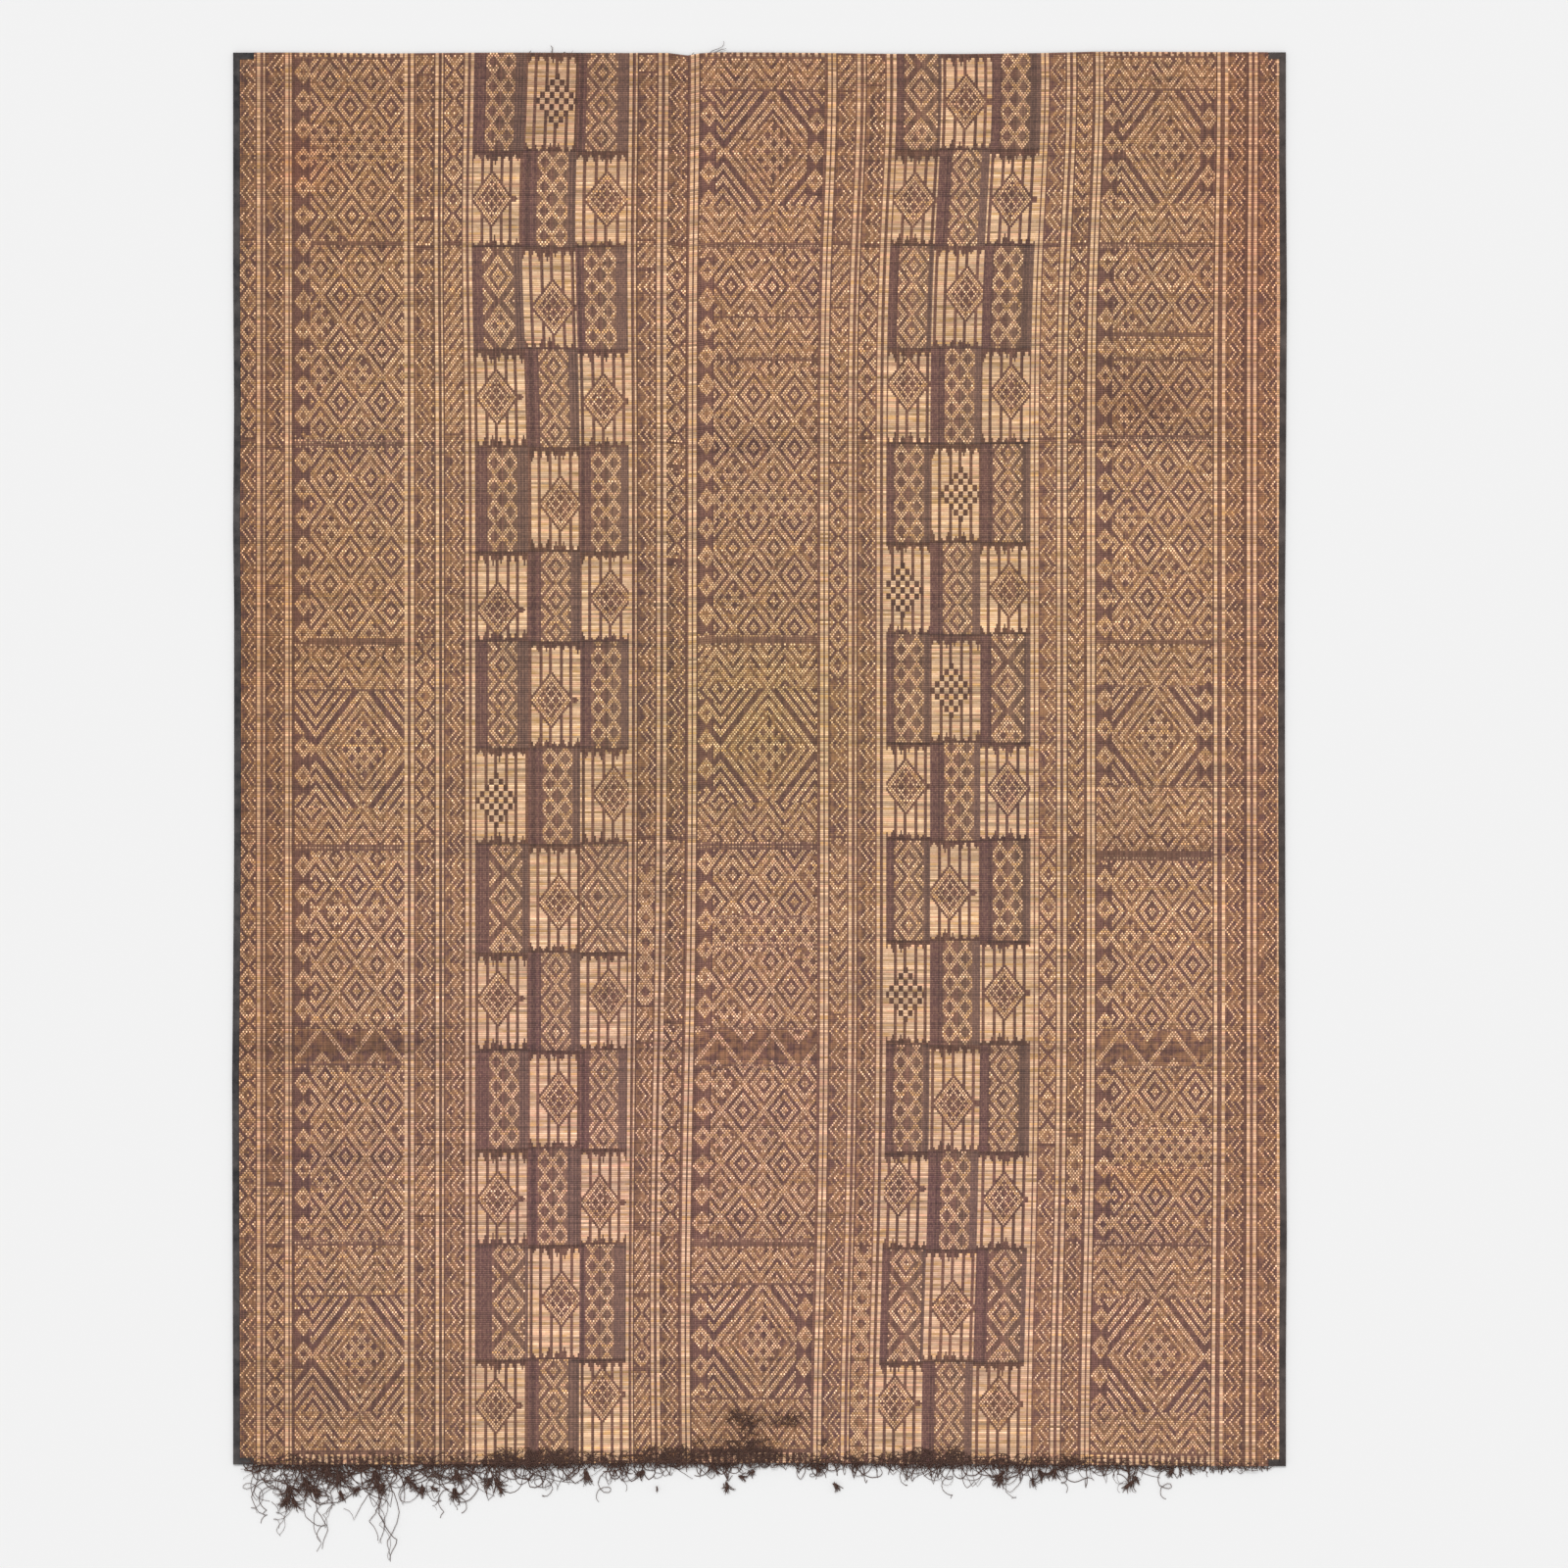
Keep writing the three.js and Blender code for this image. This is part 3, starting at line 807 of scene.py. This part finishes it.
    # leather, plum in the fields and golden where it is worked
    inDark = isDotted * (width < 50)
    inField = isDotted - inDark
    greyer = inDark * (s > 0.5)
    nearRings = inField * (steps < end + 1.5) * (1 - hasCore * 0.6)
    golden = g.noise(place, 85.0, 2.0).ramp(0.4, 5)
    goldShare = (1 - inMotif) * (nearRings * golden * 0.44 + inDark * inWidth * 0.12)
    goldShare = inMotif * (0.4 + 0.3 * cellChance) + goldShare
    leather = weaveLook["leather"]
    for share, name in (
        (g.noise(place, 3.2, 2.0).ramp(0.38, 3), "leatherPurple"),
        (inDark * (1 - greyer) * 0.6, "leatherPlum"),
        (greyer * 0.6, "leatherGrey"),
        (g.chance(j, i) * 0.4, "leatherWorn"),
        ((inField - nearRings * golden) * 0.3, "leatherPlum"),
        (goldShare, "leatherGold"),
        (isKind("rows") * 0.2, "leatherWorn"),
    ):
        leather = g.mix(share, leather, weaveLook[name])
    stripEdge = abs(stripPart - 0.5) * 2
    # random tone of each strip, with painted shade towards the strip's edges and over the dips
    # between reeds
    leatherToneAndShade = (0.74 + 0.5 * stripChance) * (1.19 - 0.36 * stripEdge**2 - 0.66 * reedEdge**4)
    leather = g.times(leather, leatherToneAndShade * (1 - 0.3 * blocks - 0.2 * isPanel * teeth))

    colour = g.mix(bare, leather, reed)
    colour = g.times(colour, reedTone * (0.86 + 0.28 * patchy))
    sockets = {0: colour, 1: g.attribute("tint")}
    colour = g.add("ShaderNodeVectorMath", {"operation": "MULTIPLY"}, sockets)
    height = (1 - bare) * (1 - stripEdge**3) * 0.5 + 0.3 * g.noise(place, 900, 2.0)
    surface(g, colour, 0.62 + 0.2 * patchy - 0.12 * bare, height, 0.5 * mm)
    return material


# Cloth tape, folded over the ends of the reeds

tapeLook = {
    "face": 12.6 * mm, "thickness": 0.8 * mm, "height": 5.4 * mm, "step": 9 * mm,
    "thread": 0.55 * mm, "cloth": linear(46, 45, 47), "worn": linear(104, 98, 96),
    "dusty": linear(118, 92, 78), "cornerGap": 0.9 * mm, "slack": 0.25 * mm,
}


def tapeSection():
    # The fold's cross-section, as distance in from the edge and height, outside first. Its two
    # lines are given for one half and mirrored about the middle height.
    t, high, face, bend = tapeLook["thickness"], tapeLook["height"], tapeLook["face"], 5 * mm
    outer = [(face, high), (bend, high), (1.6 * mm, high - 0.1 * mm), (0.5 * mm, high - 0.8 * mm),
             (0, high / 2)]
    inner = [(face, t), (bend, t), (2 * mm, t + 0.1 * mm), (1.2 * mm, high / 2 - 0.8 * mm),
             (t + 0.15 * mm, high / 2)]
    section = []
    for half in (outer, inner):
        section += half + [(inset, high - z) for inset, z in half[-2::-1]]
    return section


def tapePath(side):
    # Edge points from the head corner's end to the foot corner's end, with the way inwards.
    inward, edge, endX = (1, leftEdge, leftInner) if side == "left" else (-1, rightEdge, rightInner)

    def turned(cornerX, line, way, shares):
        stops = [endX + (cornerX + inward * 1.2 * mm - endX) * share for share in shares]
        return [(x, line(x), 0, way) for x in stops]

    headX, footX = edge(straight["long"]), edge(-straight["long"])
    headY, footY = headEdge(headX), footEdge(footX)
    count = int((headY - footY) / tapeLook["step"])
    clear = tapeLook["face"] + tapeLook["cornerGap"]
    stops = np.linspace(headY - clear, footY + clear, count)
    shares = np.linspace(0, 1, 4)
    return [
        *turned(headX, headEdge, -1, shares[:-1]),
        (headX, headY, inward, -1),
        *((edge(y), y, inward, 0) for y in stops),
        (footX, footY, inward, 1),
        *turned(footX, footEdge, 1, shares[-2::-1]),
    ]


def makeTape(side, material):
    section = tapeSection()
    path = tapePath(side)
    rng = random.Random(31 if side == "left" else 32)
    points, marks = [], []
    lengths = np.cumsum([0] + [math.dist(a[:2], b[:2]) for a, b in zip(path, path[1:])])
    outline = np.cumsum([0] + [math.dist(a, b) for a, b in zip(section, section[1:])])
    for n, (x, y, wayX, wayY) in enumerate(path):
        slack = rng.uniform(-1, 1) * tapeLook["slack"] if 5 < n < len(path) - 6 else 0
        for k, (inset, z) in enumerate(section):
            reach = inset + (slack if inset > 10 * mm else 0)
            px, py = x + wayX * reach, y + wayY * reach
            points.append((px, py, z))
            marks.append((lengths[n], outline[k]))
    size = len(section)
    faces = []
    for n in range(len(path) - 1):
        for k in range(size):
            a, b = n * size + k, n * size + (k + 1) % size
            faces.append((a, b, b + size, a + size))
    faces.append(tuple(range(size - 1, -1, -1)))
    last = (len(path) - 1) * size
    faces.append(tuple(range(last, last + size)))
    if side == "right":
        faces = [tuple(reversed(face)) for face in faces]
    mesh = bpy.data.meshes.new(f"{side}Tape")
    mesh.from_pydata(points, [], faces)
    corners = np.array([loop.vertex_index for loop in mesh.loops])
    mesh.uv_layers.new(name="cloth").uv.foreach_set("vector", np.array(marks)[corners].reshape(-1))
    mesh.materials.append(material)
    mesh.validate()
    return addObject(f"{side}Tape", mesh)


def tapeFinish():
    material, g = finish("charcoalTape")
    place = g.place()
    u, v, _ = g.map("cloth")
    warp, weft = u / tapeLook["thread"], v / tapeLook["thread"]
    over = ((warp.floor() + weft.floor()) % 2) < 0.5
    ridgeWarp = abs(warp - warp.floor() - 0.5) * 2
    ridgeWeft = abs(weft - weft.floor() - 0.5) * 2
    ridge = over * (1 - ridgeWarp**2) + (1 - over) * (1 - ridgeWeft**2)
    wear = g.noise(place, 14, 4.0, 0.6)
    fine = g.noise(place, 240, 2.0)
    patchy = g.noise(place, 70, 2.0)
    worn = wear.ramp(0.42, 3.2) * 0.7 + 0.9 * (patchy - 0.44) + 0.1 * fine
    colour = g.mix(worn.most(0), tapeLook["cloth"], tapeLook["worn"])
    px, _, _ = g.parts(place)
    colour = g.mix((px > 0) * 0.4 * wear, colour, tapeLook["dusty"])
    # painted shade: the cloth lighter on each thread's ridge and darker between threads
    colour = g.times(colour, 0.78 + 0.3 * ridge + 0.1 * fine)
    surface(g, colour, 0.85 + 0.1 * fine, ridge + fine, 0.25 * mm)
    return material


# The fringe: loose ends of the leather, drawn as curves and given their body by geometry nodes

fringeLook = {
    "thin": 0.5 * mm, "thick": 1.3 * mm, "sides": 3, "wobble": 1.6 * mm, "seed": 11,
    "leather": linear(94, 64, 54), "dust": linear(132, 100, 84), "dark": linear(62, 41, 36),
    "hanging": 800,  # how many places along the foot are tried
    "short": 880,  # how many short ends
    "lockStrands": 2.0,  # for each picture row of a lock's length
    "onWeave": (5.4 * mm, 6.8 * mm),  # heights between which a strand lies on the mat
    "columns": (258, 1291), "shortColumns": (258, 1294),
    "thickTo": 480,  # picture column up to which the long strands come in threes
    "footRow": 1490,
}
fullTurn = 6.28

# How far the mass of the fringe hangs past the foot, in picture rows, at picture columns.
fringeReach = {
    262: 28, 290: 44, 320: 54, 345: 26, 385: 62, 410: 52, 436: 30, 464: 40, 530: 29, 556: 38,
    608: 27, 673: 18, 743: 18, 786: 11, 837: 18, 967: 22, 1037: 27, 1146: 21, 1214: 11, 1283: 7,
}
# Single strands that reach furthest: picture column and row of the tip.
longStrands = [
    (265, 1556), (287, 1574), (291, 1540), (324, 1586), (335, 1560), (385, 1581), (396, 1594),
    (446, 1556), (470, 1545), (499, 1550), (555, 1540), (612, 1544), (636, 1522), (673, 1523),
    (743, 1522), (837, 1524), (921, 1528), (967, 1534), (1037, 1544), (1083, 1528), (1142, 1525),
    (1186, 1530), (1229, 1508),
]
# Matted locks: picture column and row of the middle, length in picture rows, and lean.
locks = [
    (296, 1526, 17, 0.1), (291, 1534, 12, -0.6), (303, 1535, 12, 0.7), (314, 1516, 16, 0.3),
    (323, 1525, 14, 0.5), (334, 1505, 14, -0.2), (347, 1512, 22, 0.1), (349, 1527, 10, 0.4),
    (363, 1521, 11, -0.8), (384, 1512, 18, 0.2), (389, 1520, 12, -0.4), (417, 1512, 12, 0.3),
    (425, 1518, 10, 0.5), (431, 1522, 11, -0.1), (444, 1519, 7, 0.9), (465, 1526, 12, 0.1),
    (466, 1508, 12, 0.0), (499, 1514, 10, 0.1), (509, 1515, 14, 0.5), (512, 1521, 8, 0.7),
    (599, 1507, 12, 0.2), (654, 1504, 10, -0.9), (671, 1519, 5, 0.3), (729, 1499, 12, 0.4),
    (742, 1518, 10, 0.2), (758, 1507, 8, 1.2), (766, 1503, 8, -0.9), (835, 1500, 10, 0.3),
    (853, 1517, 9, 0.5), (1020, 1511, 15, -0.3), (1054, 1513, 9, 0.2), (1063, 1506, 12, 0.4),
    (1075, 1504, 12, -0.4), (1152, 1516, 11, -0.7), (1160, 1510, 8, 0.5), (1194, 1503, 9, -0.6),
]
# Where strands lie back over the foot of the mat: first column, last column, how far up, how many.
overFoot = [
    (255, 500, 9, 190), (500, 585, 14, 260), (585, 650, 9, 80), (650, 700, 16, 150),
    (700, 790, 14, 200), (790, 850, 7, 60), (730, 790, 24, 70), (850, 1010, 9, 190),
    (920, 985, 14, 130), (1010, 1110, 8, 130), (1110, 1290, 4, 80),
]
# Small tangles on the weave: picture column and row, half width, half height, how many strands.
tangles = [
    (752, 1444, 11, 6, 30), (764, 1454, 9, 12, 60), (808, 1449, 14, 7, 46), (766, 1474, 20, 9, 60),
    (712, 1471, 6, 3, 14), (689, 1483, 9, 6, 24), (838, 1474, 6, 6, 10),
]


def walk(rng, start, heading, length, curl, low, high, steps=14, lowest=-9):
    # A loose thong's path: it sways and loops as it goes.
    x, y = start
    turn = rng.gauss(0, 1) * curl
    points = []
    pace = length / steps
    phase = rng.uniform(0, fullTurn)
    for n in range(steps + 1):
        share = n / steps
        z = low + (high - low) * (0.5 + 0.5 * math.sin(phase + 5 * share)) * (1 - 0.4 * share)
        points.append((x, y, z))
        turn += rng.gauss(0, 1) * curl * 0.5
        turn *= 0.92
        heading += turn * pace
        if y < lowest and math.sin(heading) < 0:
            heading = -heading
        x += math.cos(heading) * pace
        y += math.sin(heading) * pace
    return points


def looped(rng, start, tip, size, steps=26):
    # A long thong's path from its root to its tip, with loops on the way.
    points = []
    turns = rng.uniform(1.2, 2.8) * rng.choice([-1, 1])
    phase = rng.uniform(0, fullTurn)
    for n in range(steps + 1):
        share = n / steps
        swing = size * math.sin(math.pi * share) ** 0.7
        angle = phase + fullTurn * turns * share
        x = start[0] + (tip[0] - start[0]) * share + swing * (math.cos(angle) + rng.gauss(0, 0.06))
        y = start[1] + (tip[1] - start[1]) * share + swing * 0.8 * math.sin(angle)
        points.append((x, min(y, start[1]), (0.8 + 1.6 * math.sin(3.1 * share)) * mm))
    return points


fringeLow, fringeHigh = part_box("fringe")


def keepInside(points):
    # Turns back what would hang out past the solid fringe.
    past = 6 * mm
    left, right, bottom = fringeLow.x - past, fringeHigh.x + past, fringeLow.y - past
    return [
        (left + abs(x - left) if x < 0 else right - abs(right - x), bottom + abs(y - bottom), z)
        for x, y, z in points
    ]


def fringePaths():
    rng = random.Random(fringeLook["seed"])
    down = -math.pi / 2
    pixel = picture["metresPerPixel"]
    reaches = list(fringeReach)
    paths = []
    for _ in range(fringeLook["hanging"]):
        px = rng.uniform(*fringeLook["columns"])
        reach = np.interp(px, reaches, list(fringeReach.values()))
        if rng.random() > 0.12 + reach / 56:
            continue
        x = acrossAt(px)
        foot = footEdge(x)
        length = reach * pixel * rng.uniform(0.4, 2.4)
        heading = down + rng.gauss(0, 0.8)
        lowest = foot - reach * pixel * rng.uniform(0.5, 1.05)
        start = (x, foot + 2 * mm)
        paths.append(walk(rng, start, heading, length, 48, 0.7 * mm, 4 * mm, 15, lowest))
    for px, py in longStrands:
        for _ in range(1 if px > fringeLook["thickTo"] else 3):
            x = acrossAt(px + rng.uniform(-16, 16))
            tip = acrossAt(px + rng.uniform(-5, 5)), upAt(py - abs(rng.gauss(0, 9)))
            start = (x, footEdge(x) + 2 * mm)
            size = min(9, (py - fringeLook["footRow"]) / 6) * pixel * rng.uniform(0.5, 1.3)
            paths.append(looped(rng, start, tip, size))
    for px, py, length, lean in locks:
        size = length * pixel
        for _ in range(int(length * fringeLook["lockStrands"])):
            along = rng.uniform(0.3, 0.6) * size
            heading = down + lean + rng.gauss(0, 0.22)
            x = acrossAt(px) - math.cos(down + lean) * along + rng.gauss(0, 0.1) * size
            y = upAt(py) - math.sin(down + lean) * along + rng.gauss(0, 0.08) * size
            length = size * rng.uniform(0.6, 1.15)
            paths.append(walk(rng, (x, y), heading, length, 45, 0.8 * mm, 6 * mm, 8))
    return [keepInside(path) for path in paths]


def fuzzPaths():
    # Short ends along the foot, and the strands that lie back over the weave.
    rng = random.Random(fringeLook["seed"] + 1)
    pixel = picture["metresPerPixel"]
    onWeave = fringeLook["onWeave"]
    paths = []
    for _ in range(fringeLook["short"]):
        x = acrossAt(rng.uniform(*fringeLook["shortColumns"]))
        start = (x, footEdge(x) + rng.uniform(-4, 5) * mm)
        heading = rng.uniform(-math.pi, 0)
        length = rng.uniform(8, 30) * mm
        high = onWeave[1] if start[1] > footEdge(x) else 5 * mm
        lowest = footEdge(x) - rng.uniform(2, 13) * mm
        path = walk(rng, start, heading, length, 110, 1.2 * mm, high, 9, lowest)
        paths.append([(a, min(b, footEdge(x) + 9 * mm), c) for a, b, c in path])
    for first, last, up, count in overFoot:
        for _ in range(count):
            x = acrossAt(rng.uniform(first, last))
            rise = up * pixel * rng.random() ** 1.4
            heading = rng.choice([0, math.pi]) + rng.gauss(0, 0.6)
            length = rng.uniform(10, 34) * mm
            path = walk(rng, (x, footEdge(x) + rise), heading, length, 80, *onWeave, 9)
            low, high = footEdge(x) - 8 * mm, footEdge(x) + (up + 3) * pixel
            paths.append([(a, min(max(b, low), high), c) for a, b, c in path])
    for px, py, halfWide, halfHigh, count in tangles:
        for _ in range(count):
            x = acrossAt(px + rng.gauss(0, 0.5) * halfWide)
            y = upAt(py + rng.gauss(0, 0.5) * halfHigh)
            length = rng.uniform(6, 18) * mm
            heading = rng.uniform(0, fullTurn)
            paths.append(walk(rng, (x, y), heading, length, 120, *onWeave, 9))
    return paths


# Strays at the head: picture columns and rows that each one passes.
headStrays = [
    [(540, 56), (541, 53), (542, 52)],
    [(563, 57), (563, 53), (564, 49), (562, 47)],
    [(575, 57), (575, 54), (577, 53)],
    [(583, 57), (583, 54), (585, 52)],
    [(707, 59), (706, 56), (708, 54)],
    [(722, 56), (727, 52), (733, 50), (737, 48), (739, 44), (738, 42)],
    [(724, 57), (730, 54), (736, 51), (741, 50)],
]


def bodyTree():
    # Gives curves a thin body with a few sides, and a little fine wobble.
    tree = bpy.data.node_groups.new("thongBody", "GeometryNodeTree")
    for name, kind in [("Geometry", "Geometry"), ("Thickness", "Float"), ("Sides", "Int"),
                       ("Wobble", "Float"), ("Seed", "Int"), ("Finish", "Material")]:
        tree.interface.new_socket(name, in_out="INPUT", socket_type=f"NodeSocket{kind}")
    tree.interface.new_socket("Geometry", in_out="OUTPUT", socket_type="NodeSocketGeometry")
    g = Graph(tree)
    g.add("NodeGroupInput")
    inputs = {s.name: Wire(g, s) for s in tree.nodes[-1].outputs if s.name}
    place = g.add("GeometryNodeInputPosition")
    sockets = {"Vector": place, "W": inputs["Seed"], "Scale": 90.0, "Detail": 1.0}
    scatter = g.add("ShaderNodeTexNoise", {"noise_dimensions": "4D"}, sockets, "Color")
    subtract, multiply = {"operation": "SUBTRACT"}, {"operation": "MULTIPLY"}
    centred = g.add("ShaderNodeVectorMath", subtract, {0: scatter, 1: (0.5, 0.5, 0.5)})
    flat = g.add("ShaderNodeVectorMath", multiply, {0: centred, 1: (1, 1, 0)})
    sockets = {"Geometry": inputs["Geometry"], "Offset": g.times(flat, inputs["Wobble"])}
    moved = g.add("GeometryNodeSetPosition", None, sockets)
    sockets = {"Resolution": inputs["Sides"], "Radius": inputs["Thickness"]}
    ring = g.add("GeometryNodeCurvePrimitiveCircle", None, sockets)
    radius = g.add("GeometryNodeInputRadius")
    sockets = {"Curve": moved, "Profile Curve": ring, "Scale": radius, "Fill Caps": True}
    body = g.add("GeometryNodeCurveToMesh", None, sockets)
    real = g.add("GeometryNodeRealizeInstances", None, {"Geometry": body})
    done = g.add("GeometryNodeSetMaterial", None, {"Geometry": real, "Material": inputs["Finish"]})
    output = tree.nodes.new("NodeGroupOutput")
    tree.links.new(done.socket, output.inputs["Geometry"])
    return tree


def makeThongs(name, paths, tree, material, seed, slim=1.0):
    rng = random.Random(seed)
    curve = bpy.data.curves.new(name, "CURVE")
    curve.dimensions = "3D"
    for path in paths:
        spline = curve.splines.new("POLY")
        spline.points.add(len(path) - 1)
        radius = rng.uniform(fringeLook["thin"], fringeLook["thick"]) * slim
        for n, (point, place) in enumerate(zip(spline.points, path)):
            point.co = (*place, 1)
            point.radius = radius / mm * (1 - 0.5 * n / len(path))
    carrier = addObject(f"{name}Curves", curve)
    modifier = carrier.modifiers.new("body", "NODES")
    modifier.node_group = tree
    sockets = {s.name: s.identifier for s in tree.interface.items_tree if s.in_out == "INPUT"}
    values = {
        "Thickness": 1.0 * mm, "Sides": fringeLook["sides"], "Wobble": fringeLook["wobble"],
        "Seed": seed, "Finish": material,
    }
    for socket, value in values.items():
        modifier[sockets[socket]] = value
    graph = bpy.context.evaluated_depsgraph_get()
    mesh = bpy.data.meshes.new_from_object(carrier.evaluated_get(graph))
    mesh.name = name
    bpy.data.objects.remove(carrier)
    low = min(v.co.z for v in mesh.vertices)
    print(f"{name}: {len(mesh.polygons)} faces, lowest {low:.4f}")
    for vertex in mesh.vertices:
        vertex.co.z = max(vertex.co.z, 0.0)
    return addObject(name, mesh)


def thongFinish():
    material, g = finish("dryLeather")
    place = g.place()
    broad = g.noise(place, 40, 2.0)
    fine = g.noise(place, 600, 3.0)
    colour = g.mix(broad, fringeLook["dark"], fringeLook["leather"])
    colour = g.mix(fine.ramp(0.45, 2), colour, fringeLook["dust"])
    surface(g, colour, 0.6 + 0.3 * fine, fine, 0.3 * mm)
    return material


# Floor, light and camera

studio = {
    "floorHalf": 60.0, "floorDrop": 0.3 * mm, "floorTone": 0.9, "sky": 0.65, "sun": 1.35,
    "sunSoftness": 24, "sunTilt": -38, "sunTurn": 12, "lens": 100, "sensor": 36,
}


def makeFloor():
    mesh = bpy.data.meshes.new("floor")
    half, z, tone = studio["floorHalf"], -studio["floorDrop"], studio["floorTone"]
    corners = [(-half, -half, z), (half, -half, z), (half, half, z), (-half, half, z)]
    mesh.from_pydata(corners, [], [(0, 1, 2, 3)])
    material, g = finish("paleFloor")
    surface(g, (tone, tone, tone, 1.0), 0.9)
    mesh.materials.append(material)
    floor = addObject("floor", mesh)


def makeLight():
    scene = bpy.context.scene
    scene.view_settings.view_transform = "Standard"
    world = bpy.data.worlds.new("studio")
    world.use_nodes = True
    sky = studio["sky"]
    world.node_tree.nodes["Background"].inputs["Color"].default_value = (sky, sky, sky, 1)
    scene.world = world
    sun = bpy.data.lights.new("window", "SUN")
    sun.energy = studio["sun"]
    sun.angle = math.radians(studio["sunSoftness"])
    lamp = addObject("window", sun)
    lamp.rotation_euler = (math.radians(studio["sunTilt"]), 0, math.radians(studio["sunTurn"]))


def makeCamera():
    data = bpy.data.cameras.new("camera")
    data.lens = studio["lens"]
    data.sensor_width = studio["sensor"]
    data.clip_end = 100
    camera = addObject("camera", data)
    wide = picture["size"] * picture["metresPerPixel"]
    half = picture["size"] / 2
    away = wide * studio["lens"] / studio["sensor"]
    camera.location = (acrossAt(half), upAt(half), away)
    bpy.context.scene.camera = camera


makeCamera()
makeLight()
makeFloor()
print("floor, light and camera")

field = makeField()
field.data.materials.append(weaveFinish())
print("woven field:", len(field.data.polygons), "faces")

tapeCloth = tapeFinish()
leftTape = makeTape("left", tapeCloth)
rightTape = makeTape("right", tapeCloth)
print("tapes")

thongs = bodyTree()
leather = thongFinish()
fringe = makeThongs("fringeStrands", fringePaths(), thongs, leather, 21)
fuzz = makeThongs("footFuzz", fuzzPaths(), thongs, leather, 22, 0.8)
strayPaths = [[(acrossAt(px), upAt(py), 3 * mm) for px, py in path] for path in headStrays]
strays = makeThongs("headStrays", strayPaths, thongs, leather, 23, 0.8)
print("fringe")

for piece in (field, leftTape, rightTape, fringe, fuzz, strays):
    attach(piece, "root")
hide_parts("woven_mat")
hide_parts("left_binding")
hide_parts("right_binding")
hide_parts("fringe")
